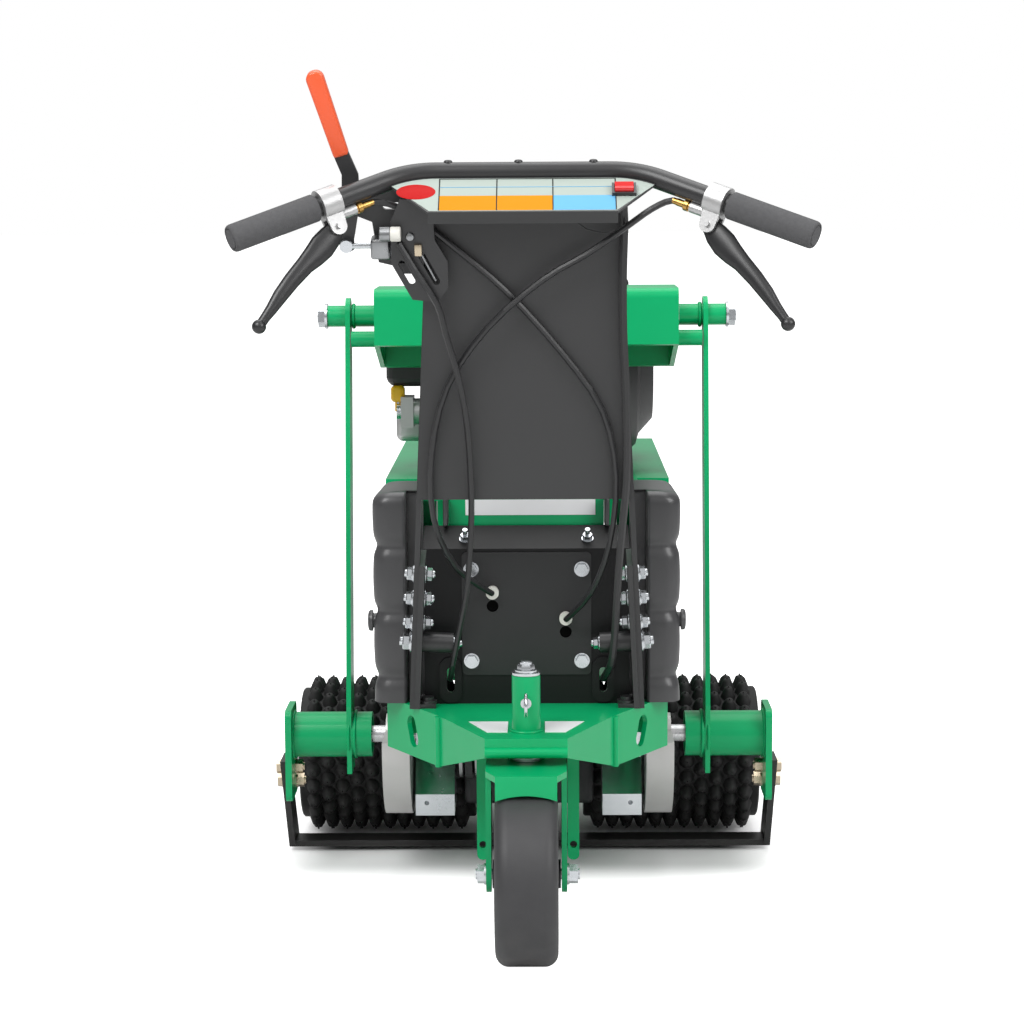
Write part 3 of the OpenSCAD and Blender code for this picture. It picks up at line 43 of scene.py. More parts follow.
# camera at the photograph's stand
view = {
    "place": (0.021, -3.2163, 0.8656), "pitch": 7.5, "yaw": 0.74, "roll": -0.35, "lens": 87.9, "sensor": 36.0,
}
camData = bpy.data.cameras.new("camera")
camData.lens = view["lens"]
camData.sensor_width = view["sensor"]
camData.dof.use_dof = False
camera = bpy.data.objects.new("camera", camData)
camera.location = view["place"]
camera.rotation_euler = (math.radians(90 - view["pitch"]), 0, math.radians(view["yaw"]))
rollTurn = Matrix.Rotation(math.radians(view["roll"]), 3, "Z")
camera.rotation_euler = (camera.rotation_euler.to_matrix() @ rollTurn).to_euler()
scene.collection.objects.link(camera)
scene.camera = camera
scene.view_settings.view_transform = "Standard"


# shader effects that several finishes share
def startGroup(name, ins, outs):
    tree = bpy.data.node_groups.new(name, "ShaderNodeTree")
    for label, kind, value in ins:
        socket = tree.interface.new_socket(label, in_out="INPUT", socket_type=kind)
        socket.default_value = value
    for label, kind in outs:
        tree.interface.new_socket(label, in_out="OUTPUT", socket_type=kind)
    source = tree.nodes.new("NodeGroupInput")
    sink = tree.nodes.new("NodeGroupOutput")
    return tree, source, sink


def addNode(tree, kind, **values):
    node = tree.nodes.new(kind)
    for key, value in values.items():
        setattr(node, key, value)
    return node


def setInputs(node, values):
    for key, value in values.items():
        node.inputs[key].default_value = value


# each row: a node, its output, the next node, its input
def wire(tree, rows):
    for start, leaving, end, entering in rows:
        tree.links.new(start.outputs[leaving], end.inputs[entering])


# lighter colour on convex edges: part rubbed wear, part painted edge highlight
def makeEdgeWearAndHighlight():
    tree, source, sink = startGroup(
        "edgeWearAndHighlight",
        [
            ("Radius", "NodeSocketFloat", 0.003),
            ("Breakup", "NodeSocketFloat", 60.0),
            ("Amount", "NodeSocketFloat", 0.5),
        ],
        [("Mask", "NodeSocketFloat")],
    )
    bevel = addNode(tree, "ShaderNodeBevel", samples=4)
    geo = addNode(tree, "ShaderNodeNewGeometry")
    dot = addNode(tree, "ShaderNodeVectorMath", operation="DOT_PRODUCT")
    ramp = addNode(tree, "ShaderNodeMapRange")
    setInputs(ramp, {"From Min": 0.98, "From Max": 0.75})
    coord = addNode(tree, "ShaderNodeTexCoord")
    noise = addNode(tree, "ShaderNodeTexNoise")
    noise.inputs["Detail"].default_value = 4
    cut = addNode(tree, "ShaderNodeMapRange")
    setInputs(cut, {"From Min": 0.42, "From Max": 0.62})
    mul = addNode(tree, "ShaderNodeMath", operation="MULTIPLY")
    level = addNode(tree, "ShaderNodeMath", operation="MULTIPLY")
    wire(tree, [
        (source, "Radius", bevel, "Radius"), (bevel, "Normal", dot, 0), (geo, "Normal", dot, 1),
        (dot, "Value", ramp, "Value"), (coord, "Object", noise, "Vector"),
        (source, "Breakup", noise, "Scale"), (noise, "Fac", cut, "Value"), (ramp, "Result", mul, 0),
        (cut, "Result", mul, 1), (mul, "Value", level, 0), (source, "Amount", level, 1),
        (level, "Value", sink, "Mask"),
    ])
    return tree


def makeMottle():
    tree, source, sink = startGroup(
        "mottle",
        [
            ("Color", "NodeSocketColor", (0.5, 0.5, 0.5, 1)),
            ("Shade", "NodeSocketColor", (0.3, 0.3, 0.3, 1)),
            ("Scale", "NodeSocketFloat", 8.0),
            ("Rough", "NodeSocketFloat", 0.5),
            ("Spread", "NodeSocketFloat", 0.1),
        ],
        [("Color", "NodeSocketColor"), ("Roughness", "NodeSocketFloat")],
    )
    coord = addNode(tree, "ShaderNodeTexCoord")
    noise = addNode(tree, "ShaderNodeTexNoise")
    setInputs(noise, {"Detail": 6, "Roughness": 0.62})
    mix = addNode(tree, "ShaderNodeMix", data_type="RGBA")
    lift = addNode(tree, "ShaderNodeMath", operation="SUBTRACT")
    lift.inputs[1].default_value = 0.5
    gain = addNode(tree, "ShaderNodeMath", operation="MULTIPLY_ADD")
    wire(tree, [
        (coord, "Object", noise, "Vector"), (source, "Scale", noise, "Scale"), (noise, "Fac", mix, 0),
        (source, "Color", mix, 6), (source, "Shade", mix, 7), (noise, "Fac", lift, 0),
        (lift, "Value", gain, 0), (source, "Spread", gain, 1), (source, "Rough", gain, 2),
        (mix, 2, sink, "Color"), (gain, "Value", sink, "Roughness"),
    ])
    return tree


def makePeel():
    tree, source, sink = startGroup(
        "peel",
        [
            ("Fine", "NodeSocketFloat", 900.0),
            ("Broad", "NodeSocketFloat", 40.0),
            ("Share", "NodeSocketFloat", 0.3),
        ],
        [("Height", "NodeSocketFloat")],
    )
    coord = addNode(tree, "ShaderNodeTexCoord")
    fine = addNode(tree, "ShaderNodeTexNoise")
    fine.inputs["Detail"].default_value = 2
    broad = addNode(tree, "ShaderNodeTexNoise")
    broad.inputs["Detail"].default_value = 3
    mix = addNode(tree, "ShaderNodeMix", data_type="FLOAT")
    wire(tree, [
        (coord, "Object", fine, "Vector"), (coord, "Object", broad, "Vector"),
        (source, "Fine", fine, "Scale"), (source, "Broad", broad, "Scale"), (source, "Share", mix, 0),
        (fine, "Fac", mix, 2), (broad, "Fac", mix, 3), (mix, 0, sink, "Height"),
    ])
    return tree


def makeGroundDust():
    tree, source, sink = startGroup(
        "groundDust",
        [
            ("Color", "NodeSocketColor", (0.1, 0.1, 0.1, 1)),
            ("Dust", "NodeSocketColor", (0.3, 0.26, 0.2, 1)),
            ("Top", "NodeSocketFloat", 0.2),
            ("Amount", "NodeSocketFloat", 0.3),
        ],
        [("Color", "NodeSocketColor")],
    )
    coord = addNode(tree, "ShaderNodeTexCoord")
    parts = addNode(tree, "ShaderNodeSeparateXYZ")
    fade = addNode(tree, "ShaderNodeMapRange")
    fade.inputs["From Max"].default_value = 0.0
    noise = addNode(tree, "ShaderNodeTexNoise")
    setInputs(noise, {"Scale": 35, "Detail": 6})
    cut = addNode(tree, "ShaderNodeMapRange")
    setInputs(cut, {"From Min": 0.4, "From Max": 0.75})
    mul = addNode(tree, "ShaderNodeMath", operation="MULTIPLY")
    level = addNode(tree, "ShaderNodeMath", operation="MULTIPLY")
    mix = addNode(tree, "ShaderNodeMix", data_type="RGBA")
    wire(tree, [
        (coord, "Object", parts, "Vector"), (parts, "Z", fade, "Value"), (source, "Top", fade, "From Min"),
        (coord, "Object", noise, "Vector"), (noise, "Fac", cut, "Value"), (fade, "Result", mul, 0),
        (cut, "Result", mul, 1), (mul, "Value", level, 0), (source, "Amount", level, 1),
        (level, "Value", mix, 0), (source, "Color", mix, 6), (source, "Dust", mix, 7),
        (mix, 2, sink, "Color"),
    ])
    return tree


effects = {
    "wearAndHighlight": makeEdgeWearAndHighlight(),
    "mottle": makeMottle(),
    "peel": makePeel(),
    "dust": makeGroundDust(),
}
print("shared effects ready")


# one finish from its own dictionary of values
def rgba(c):
    return (c[0], c[1], c[2], 1)


def makeFinish(name, look):
    mat = bpy.data.materials.new(name)
    mat.use_nodes = True
    tree = mat.node_tree
    bsdf = tree.nodes["Principled BSDF"]
    link = tree.links.new
    mottle = addNode(tree, "ShaderNodeGroup", node_tree=effects["mottle"])
    setInputs(mottle, {
        "Color": rgba(look["color"]), "Shade": rgba(look["shade"]), "Scale": look.get("scale", 8),
        "Rough": look["rough"], "Spread": look.get("spread", 0.1),
    })
    color = mottle.outputs["Color"]
    if "dust" in look:
        dust = addNode(tree, "ShaderNodeGroup", node_tree=effects["dust"])
        setInputs(dust, {
            "Dust": rgba(look["dust"]), "Top": look.get("dustTop", 0.25),
            "Amount": look.get("dustAmount", 0.3),
        })
        link(color, dust.inputs["Color"])
        color = dust.outputs["Color"]
    # convex edges mixed towards a lighter colour: rubbed wear together with painted edge highlight
    if "wearAndHighlight" in look:
        wearAndHighlight = addNode(tree, "ShaderNodeGroup", node_tree=effects["wearAndHighlight"])
        setInputs(wearAndHighlight, {"Radius": look.get("wearAndHighlightSize", 0.002), "Amount": look["wearAndHighlight"]})
        mix = addNode(tree, "ShaderNodeMix", data_type="RGBA")
        link(wearAndHighlight.outputs["Mask"], mix.inputs[0])
        link(color, mix.inputs[6])
        mix.inputs[7].default_value = rgba(look["wearAndHighlightColor"])
        color = mix.outputs[2]
    link(color, bsdf.inputs["Base Color"])
    link(mottle.outputs["Roughness"], bsdf.inputs["Roughness"])
    setInputs(bsdf, {
        "Metallic": look.get("metal", 0), "Coat Weight": look.get("coat", 0),
        "Coat Roughness": look.get("coatRough", 0.1), "Specular IOR Level": look.get("specular", 0.5),
    })
    peel = addNode(tree, "ShaderNodeGroup", node_tree=effects["peel"])
    setInputs(peel, {
        "Fine": look.get("fine", 900), "Broad": look.get("broad", 60), "Share": look.get("share", 0.3),
    })
    bump = addNode(tree, "ShaderNodeBump")
    setInputs(bump, {"Strength": look.get("bump", 0.1), "Distance": look.get("depth", 0.001)})
    link(peel.outputs["Height"], bump.inputs["Height"])
    link(bump.outputs["Normal"], bsdf.inputs["Normal"])
    return mat


greenEnamel = makeFinish("greenEnamel", {
    "color": (0.0, 0.36, 0.125), "shade": (0.0, 0.32, 0.11), "scale": 5, "rough": 0.34, "spread": 0.12,
    "specular": 0.22, "coat": 0.12, "coatRough": 0.06, "fine": 420, "broad": 70, "share": 0.5,
    "bump": 0.06, "depth": 0.0006, "wearAndHighlight": 0.25, "wearAndHighlightColor": (0.004, 0.40, 0.15), "wearAndHighlightSize": 0.0018,
})
blackPowder = makeFinish("blackPowder", {
    "color": (0.019, 0.019, 0.020), "shade": (0.026, 0.026, 0.027), "scale": 12, "rough": 0.36,
    "spread": 0.12, "fine": 1100, "broad": 160, "share": 0.25, "bump": 0.16, "depth": 0.0005, "wearAndHighlight": 0.35,
    "wearAndHighlightColor": (0.06, 0.06, 0.063), "wearAndHighlightSize": 0.0015,
})
shieldPaint = makeFinish("shieldPaint", {
    "color": (0.026, 0.026, 0.027), "shade": (0.032, 0.032, 0.033), "scale": 4, "rough": 0.56,
    "spread": 0.08, "fine": 1300, "broad": 200, "share": 0.2, "bump": 0.18, "depth": 0.0004,
})
# rear cover black, darker than the other blacks: painted shade of the recessed panel
rearSheetWithPaintedShade = makeFinish("rearSheetWithPaintedShade", {
    "color": (0.005, 0.005, 0.0055), "shade": (0.008, 0.008, 0.0085), "scale": 9, "rough": 0.5,
    "spread": 0.12, "specular": 0.28, "fine": 1000, "broad": 140, "bump": 0.12, "depth": 0.0005,
})
plateSteel = makeFinish("plateSteel", {
    "color": (0.012, 0.012, 0.013), "shade": (0.018, 0.018, 0.019), "scale": 9, "rough": 0.5,
    "spread": 0.12, "fine": 1000, "broad": 140, "bump": 0.14, "depth": 0.0005, "wearAndHighlight": 0.3,
    "wearAndHighlightColor": (0.07, 0.07, 0.072),
})
coverPlastic = makeFinish("coverPlastic", {
    "color": (0.044, 0.044, 0.046), "shade": (0.055, 0.055, 0.057), "scale": 7, "rough": 0.32,
    "spread": 0.14, "fine": 700, "broad": 30, "share": 0.35, "bump": 0.15, "depth": 0.0008,
})
enginePlastic = makeFinish("enginePlastic", {
    "color": (0.018, 0.018, 0.019), "shade": (0.026, 0.026, 0.027), "scale": 16, "rough": 0.45,
    "spread": 0.12, "fine": 800, "broad": 90, "bump": 0.15, "depth": 0.0006,
})
zincPlate = makeFinish("zincPlate", {
    "color": (0.70, 0.72, 0.74), "shade": (0.50, 0.53, 0.56), "scale": 22, "rough": 0.24, "spread": 0.24,
    "metal": 1, "fine": 600, "broad": 110, "share": 0.5, "bump": 0.08, "depth": 0.0004,
})
dullZinc = makeFinish("dullZinc", {
    "color": (0.36, 0.37, 0.38), "shade": (0.24, 0.245, 0.25), "scale": 40, "rough": 0.32, "spread": 0.24,
    "metal": 1, "fine": 600, "broad": 110, "share": 0.5, "bump": 0.12, "depth": 0.0005,
})
yellowZinc = makeFinish("yellowZinc", {
    "color": (0.56, 0.49, 0.34), "shade": (0.50, 0.40, 0.32), "scale": 60, "rough": 0.28, "spread": 0.2,
    "metal": 1, "fine": 700, "broad": 120, "share": 0.4, "bump": 0.06, "depth": 0.0003,
})
turnedSteel = makeFinish("turnedSteel", {
    "color": (0.66, 0.66, 0.67), "shade": (0.5, 0.5, 0.51), "scale": 30, "rough": 0.28, "spread": 0.2,
    "metal": 1, "broad": 200, "share": 0.4, "bump": 0.08, "depth": 0.0003,
})
greyCasting = makeFinish("greyCasting", {
    "color": (0.55, 0.55, 0.55), "shade": (0.42, 0.42, 0.42), "scale": 26, "rough": 0.42, "spread": 0.2,
    "metal": 0.85, "fine": 500, "broad": 120, "share": 0.4, "bump": 0.2, "depth": 0.0006,
})
darkCasting = makeFinish("darkCasting", {
    "color": (0.03, 0.03, 0.032), "shade": (0.045, 0.045, 0.047), "scale": 18, "rough": 0.55,
    "spread": 0.15, "metal": 0.3, "fine": 380, "broad": 80, "share": 0.4, "bump": 0.3, "depth": 0.0008,
})
weightSteel = makeFinish("weightSteel", {
    "color": (0.62, 0.61, 0.60), "shade": (0.48, 0.47, 0.465), "scale": 14, "rough": 0.42, "spread": 0.2,
    "metal": 0.75, "fine": 420, "share": 0.5, "bump": 0.16, "depth": 0.0006,
})
bladeSteel = makeFinish("bladeSteel", {
    "color": (0.022, 0.022, 0.024), "shade": (0.05, 0.048, 0.046), "scale": 12, "rough": 0.42,
    "spread": 0.25, "metal": 0.6, "fine": 500, "share": 0.5, "bump": 0.2, "depth": 0.0007, "wearAndHighlight": 0.5,
    "wearAndHighlightColor": (0.2, 0.2, 0.2),
})
gripFoam = makeFinish("gripFoam", {
    "color": (0.10, 0.10, 0.103), "shade": (0.07, 0.07, 0.073), "scale": 220, "rough": 0.94,
    "spread": 0.08, "fine": 1400, "broad": 500, "share": 0.5, "bump": 0.5, "depth": 0.0009,
    "specular": 0.25,
})
sheathBlack = makeFinish("sheathBlack", {
    "color": (0.010, 0.010, 0.011), "shade": (0.016, 0.016, 0.017), "scale": 20, "rough": 0.36,
    "broad": 120, "bump": 0.08, "depth": 0.0003,
})
knobRubber = makeFinish("knobRubber", {
    "color": (0.014, 0.014, 0.0145), "shade": (0.022, 0.022, 0.022), "scale": 30, "rough": 0.64,
    "spread": 0.2, "specular": 0.3, "fine": 800, "broad": 140, "share": 0.4, "bump": 0.25, "depth": 0.0008,
    "dust": (0.06, 0.058, 0.054), "dustTop": 0.2, "dustAmount": 0.4,
})
tyreRubber = makeFinish("tyreRubber", {
    "color": (0.040, 0.040, 0.042), "shade": (0.026, 0.026, 0.028), "scale": 26, "rough": 0.55,
    "spread": 0.16, "fine": 700, "broad": 70, "share": 0.5, "bump": 0.2, "depth": 0.0008,
    "dust": (0.1, 0.097, 0.09), "dustTop": 0.08, "dustAmount": 0.4,
})
leverEnamel = makeFinish("leverEnamel", {
    "color": (0.014, 0.014, 0.015), "shade": (0.020, 0.020, 0.021), "scale": 30, "rough": 0.34,
    "fine": 700, "broad": 90, "share": 0.4, "bump": 0.12, "depth": 0.0005,
})
orangeVinyl = makeFinish("orangeVinyl", {
    "color": (0.80, 0.105, 0.026), "shade": (0.72, 0.085, 0.02), "scale": 14, "rough": 0.36,
    "spread": 0.12, "coat": 0.15, "fine": 500, "share": 0.6, "depth": 0.0007,
})
redPlastic = makeFinish("redPlastic", {
    "color": (0.62, 0.012, 0.012), "shade": (0.52, 0.008, 0.01), "scale": 60, "rough": 0.3, "spread": 0.08,
    "coat": 0.2, "broad": 200, "share": 0.4, "bump": 0.05, "depth": 0.0003,
})
whiteNylon = makeFinish("whiteNylon", {
    "color": (0.74, 0.73, 0.68), "shade": (0.62, 0.61, 0.56), "scale": 70, "rough": 0.5, "fine": 700,
    "broad": 150, "share": 0.4, "depth": 0.0004,
})
panelMint = makeFinish("panelMint", {
    "color": (0.345, 0.40, 0.365), "shade": (0.33, 0.38, 0.348), "scale": 10, "rough": 0.5, "spread": 0.06,
    "specular": 0.2, "broad": 100, "bump": 0.03, "depth": 0.0003,
})

finishes = {
    greenEnamel: [
        "rear_frame", "swivel_tube", "rails", "engine_deck", "posts", "pivot_beam", "caster_fork",
        "swing_arms",
    ],
    blackPowder: [
        "front_guard", "mast_brackets", "uprights", "handlebar", "lever_bracket", "speed_lever",
        "control_panel",
    ],
    rearSheetWithPaintedShade: ["rear_cover"],
    shieldPaint: ["handle_shield"],
    plateSteel: ["cover_plate"],
    coverPlastic: ["left_side_cover", "right_side_cover"],
    enginePlastic: ["fan_housing", "fuel_tank", "air_cleaner", "recoil_handle"],
    zincPlate: [
        "pivot_bolts", "body_bolts", "handle_bolts", "bearing_blocks", "caster_stem", "caster_axle",
        "tie_rod", "throttle_lever", "lock_pin",
    ],
    greyCasting: ["lever_perches", "carburettor", "cylinder_block"],
    darkCasting: ["transaxle_case", "crankcase", "caster_hub"],
    turnedSteel: ["axle_shaft", "blade_shaft", "crankshaft", "muffler"],
    weightSteel: ["counterweights"],
    bladeSteel: ["blade", "drum_cores"],
    yellowZinc: ["blade_bolts"],
    whiteNylon: ["grommets"],
    gripFoam: ["grips"],
    sheathBlack: ["drive_belt", "lever_cables", "speed_cable", "switch_loom"],
    knobRubber: ["left_tread", "right_tread"],
    tyreRubber: ["caster_tyre"],
    leverEnamel: ["left_lever", "right_lever"],
    orangeVinyl: ["lever_sleeve"],
    redPlastic: ["stop_switch"],
}
for mat, names in finishes.items():
    for name in names:
        for slot in nodes[name].material_slots:
            slot.material = mat
print("finishes on the solids:", len(finishes))


# frames of the leaning mast, the handlebar and its right arm, in metres
mast = {"foot": (0, -0.3195, 0.255), "lean": 15.4}
bar = {
    "place": (0, -0.49083, 0.877), "tilt": 215.4, "half": 0.094, "bend": 0.1, "turn": 32.8, "roll": 140,
    "tube": 0.0222,
}
leanFrame = Matrix.Translation(mast["foot"]) @ Matrix.Rotation(math.radians(mast["lean"]), 4, "X")
barFrame = Matrix.Translation(bar["place"]) @ Matrix.Rotation(math.radians(bar["tilt"]), 4, "X")
turn = math.radians(bar["turn"])
armStart = (bar["half"] + bar["bend"] * math.sin(turn), bar["bend"] * (1 - math.cos(turn)), 0)
armTurn = Matrix.Rotation(turn, 4, "Z") @ Matrix.Rotation(math.radians(bar["roll"]), 4, "X")
armFrame = barFrame @ Matrix.Translation(armStart) @ armTurn
flipX = Matrix.Scale(-1, 4, (1, 0, 0))
mergeGap = 0.00001


# a finished mesh becomes a piece that rides on a body
def makePiece(name, bm, mats, body, sharp=35):
    bmesh.ops.remove_doubles(bm, verts=bm.verts, dist=mergeGap)
    bmesh.ops.recalc_face_normals(bm, faces=bm.faces)
    mesh = bpy.data.meshes.new(name)
    bm.to_mesh(mesh)
    bm.free()
    for mat in mats:
        mesh.materials.append(mat)
    for face in mesh.polygons:
        face.use_smooth = True
    mesh.set_sharp_from_angle(angle=math.radians(sharp))
    piece = bpy.data.objects.new(name, mesh)
    scene.collection.objects.link(piece)
    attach(piece, body)
    return piece


# box with rounded edges, from its two corners
def addBlock(bm, low, high, round=0.0, place=Matrix(), mat=0, segments=2):
    low = Vector(low)
    high = Vector(high)
    made = bmesh.ops.create_cube(bm, size=1)
    verts = made["verts"]
    span = Matrix.Diagonal(high - low).to_4x4()
    bmesh.ops.transform(bm, matrix=Matrix.Translation((low + high) / 2) @ span, verts=verts)
    faces = list({f for v in verts for f in v.link_faces})
    if round > 0:
        edges = list({e for v in verts for e in v.link_edges})
        done = bmesh.ops.bevel(
            bm, geom=edges, offset=round, offset_type="OFFSET", affect="EDGES", segments=segments,
            profile=0.5, material=-1, clamp_overlap=True)
        verts = list(set(done["verts"]) | {v for v in verts if v.is_valid})
        faces = list({f for v in verts for f in v.link_faces})
    for face in faces:
        face.material_index = mat
    bmesh.ops.transform(bm, matrix=place, verts=verts)
    return verts


# turned shape: a profile of (radius, height) spun about the local Z axis
def addTurned(bm, profile, place=Matrix(), steps=32, mat=0, closed=False):
    verts = [bm.verts.new((max(r, 0.0), 0, h)) for r, h in profile]
    edges = [bm.edges.new(pair) for pair in zip(verts, verts[1:] + verts[:1] if closed else verts[1:])]
    before = set(bm.faces)
    bmesh.ops.spin(
        bm, geom=verts + edges, cent=(0, 0, 0), axis=(0, 0, 1), angle=math.tau, steps=steps, use_merge=True)
    faces = [f for f in bm.faces if f not in before]
    ring = list({v for f in faces for v in f.verts})
    bmesh.ops.remove_doubles(bm, verts=ring, dist=mergeGap)
    faces = [f for f in bm.faces if f not in before]
    for face in faces:
        face.material_index = mat
    ring = list({v for f in faces for v in f.verts})
    bmesh.ops.transform(bm, matrix=place, verts=ring)
    return ring


# tube through stations of (point, wide, high), each an oval ring across the path
def addLoft(bm, stations, up=(0, 0, 1), place=Matrix(), segments=16, mat=0):
    before = set(bm.faces)
    loops = []
    points = [Vector(s[0]) for s in stations]
    for k, (point, wide, high) in enumerate(stations):
        ahead = points[min(k + 1, len(points) - 1)] - points[max(k - 1, 0)]
        ahead.normalize()
        side = ahead.cross(Vector(up)).normalized()
        rise = side.cross(ahead).normalized()
        turnTo = Matrix((side, rise, ahead)).transposed().to_4x4()
        size = Matrix.Diagonal((wide / 2, high / 2, 1)).to_4x4()
        ring = bmesh.ops.create_circle(
            bm, cap_ends=False, radius=1, segments=segments, matrix=Matrix.Translation(point) @ turnTo @ size)
        loops.append(ring["verts"])
    for a, b in zip(loops, loops[1:]):
        edges = {e for v in a + b for e in v.link_edges if not e.link_faces or len(e.link_faces) == 1}
        ends = [e for e in edges if all(v in a for v in e.verts) or all(v in b for v in e.verts)]
        bmesh.ops.bridge_loops(bm, edges=ends)
    for cap in (loops[0], loops[-1]):
        bmesh.ops.contextual_create(bm, geom=cap)
    faces = [f for f in bm.faces if f not in before]
    for face in faces:
        face.material_index = mat
    verts = list({v for f in faces for v in f.verts})
    bmesh.ops.transform(bm, matrix=place, verts=verts)
    return verts


# printed sheet on the control panel: plain bands, dividers and a bare oval
panelInk = {
    "top": -0.0015, "lift": 0.0002, "low": 0.0725, "side": 0.0995, "inset": 0.0025,
    "orange": (0.58, 0.225, 0.0), "blue": (0.13, 0.38, 0.62), "line": (0.02, 0.02, 0.02),
    "oval": (0.42, 0.008, 0.008), "fade": 0.93,
    "bandLow": 0.0455, "bandHigh": 0.0716, "orangeX": (-0.0895, 0.032), "blueX": (0.032, 0.099),
    "lines": (-0.0895, -0.028, 0.032, 0.099), "lineHalf": 0.0006, "lineLift": 0.0001,
    "acrossX": (-0.0895, 0.099), "topLine": (0.0145, 0.0155), "midLine": (0.0295, 0.0302),
    "ovalAt": (-0.1145, 0.038), "ovalSize": (0.021, 0.0135),
    "dome": [(0, 0.0007), (0.9, 0.0006), (1, 0.0002), (1, 0)],
}


def inkFinish(name, color):
    soft = tuple(c * panelInk["fade"] for c in color)
    return makeFinish(name, {
        "color": color, "shade": soft, "scale": 12, "rough": 0.5, "spread": 0.06, "specular": 0.08,
        "fine": 900, "broad": 120, "share": 0.3, "bump": 0.03, "depth": 0.0002})


def makePanelSheet():
    bm = bmesh.new()
    reach = bar["bend"] - bar["tube"] / 2 - panelInk["inset"]
    level = panelInk["top"] - panelInk["lift"]
    start = bm.verts.new((bar["half"], bar["bend"] - reach, level))
    bmesh.ops.spin(
        bm, geom=[start], cent=(bar["half"], bar["bend"], level), axis=(0, 0, 1), angle=turn, steps=8)
    bm.verts.ensure_lookup_table()
    right = sorted(bm.verts, key=lambda v: v.co.x)
    corner = bm.verts.new((panelInk["side"], panelInk["low"], level))
    left = [bm.verts.new((-v.co.x, v.co.y, level)) for v in right]
    leftCorner = bm.verts.new((-panelInk["side"], panelInk["low"], level))
    bm.faces.new(right + [corner, leftCorner] + left[::-1])
    rise = level - panelInk["lift"]

    def strip(x0, x1, y0, y1, mat, step=0):
        z = rise - step
        addBlock(bm, (x0, y0, z), (x1, y1, level), mat=mat)

    strip(*panelInk["orangeX"], panelInk["bandLow"], panelInk["bandHigh"], 1)
    strip(*panelInk["blueX"], panelInk["bandLow"], panelInk["bandHigh"], 2)
    half = panelInk["lineHalf"]
    lift = panelInk["lineLift"]
    for x in panelInk["lines"]:
        strip(x - half, x + half, panelInk["topLine"][0], panelInk["bandHigh"], 3, lift)
    strip(*panelInk["acrossX"], *panelInk["topLine"], 3, lift)
    strip(*panelInk["acrossX"], *panelInk["midLine"], 2, lift)
    cx, cy = panelInk["ovalAt"]
    wide, tall = panelInk["ovalSize"]
    dome = Matrix.Translation((cx, cy, level)) @ Matrix.Diagonal((wide, tall, -1)).to_4x4()
    addTurned(bm, panelInk["dome"], dome, 40, 4)
    bmesh.ops.transform(bm, matrix=barFrame, verts=bm.verts)
    mats = [
        panelMint, inkFinish("inkOrange", panelInk["orange"]), inkFinish("inkBlue", panelInk["blue"]),
        inkFinish("inkLine", panelInk["line"]), inkFinish("inkRed", panelInk["oval"])]
    makePiece("panelSheet", bm, mats, "frame")


makePanelSheet()
print("panel sheet done")


# cast hand levers: a bent blade of oval rings, a knuckle round the pivot and a ball end
handLever = {
    "pivot": (0.072, 0, -0.027), "ballAt": (0.1937, 0, -0.0957), "ball": 0.0076,
    "blade": [
        ((0.070, 0, -0.0265), 0.018, 0.0105), ((0.082, 0, -0.034), 0.026, 0.0115),
        ((0.095, 0, -0.041), 0.029, 0.012), ((0.108, 0, -0.0475), 0.025, 0.012),
        ((0.121, 0, -0.053), 0.0205, 0.0125), ((0.141, 0, -0.063), 0.0185, 0.0125),
        ((0.159, 0, -0.0735), 0.0165, 0.012), ((0.174, 0, -0.0835), 0.0128, 0.011),
        ((0.184, 0, -0.0895), 0.0108, 0.010), ((0.191, 0, -0.094), 0.0106, 0.010),
    ],
    "hub": [
        (0, -0.0058), (0.0075, -0.0058), (0.0085, -0.0048), (0.0085, 0.0048), (0.0075, 0.0058), (0, 0.0058),
    ],
}


def addBall(bm, at, radius, place=Matrix(), mat=0, steps=24):
    made = bmesh.ops.create_uvsphere(
        bm, u_segments=steps, v_segments=steps // 2, radius=radius, matrix=place @ Matrix.Translation(at))
    for face in {f for v in made["verts"] for f in v.link_faces}:
        face.material_index = mat
    return made["verts"]


def makeHandLever(name, body, node, mirror):
    bm = bmesh.new()
    addLoft(bm, handLever["blade"], (0, 1, 0), segments=24)
    addBall(bm, handLever["ballAt"], handLever["ball"])
    upright = Matrix.Translation(handLever["pivot"]) @ Matrix.Rotation(math.radians(90), 4, "X")
    addTurned(bm, handLever["hub"], upright)
    bmesh.ops.transform(bm, matrix=mirror @ armFrame, verts=bm.verts)
    piece = makePiece(name, bm, [leverEnamel], body, 50)
    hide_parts(node)


makeHandLever("rightHandLever", "lever_r", "right_lever", Matrix())
makeHandLever("leftHandLever", "lever_l", "left_lever", flipX)
print("hand levers done")


# drum treads: round tapered knobs with a moulding nib, staggered on a sleeve
drum = {
    "axle": (0, 0.0925, 0.104), "inner": 0.072, "length": 0.232, "tip": 0.104, "knob": 0.017, "bore": 0.0765,
    "rows": 50, "cols": 12, "edge": 0.002,
    "profile": [
        (0.0108, -0.002), (0.0098, 0.002), (0.0080, 0.0068), (0.0062, 0.0112), (0.0050, 0.0134),
        (0.0038, 0.0143), (0.0013, 0.0146), (0.0010, 0.0168), (0, 0.017),
    ],
}


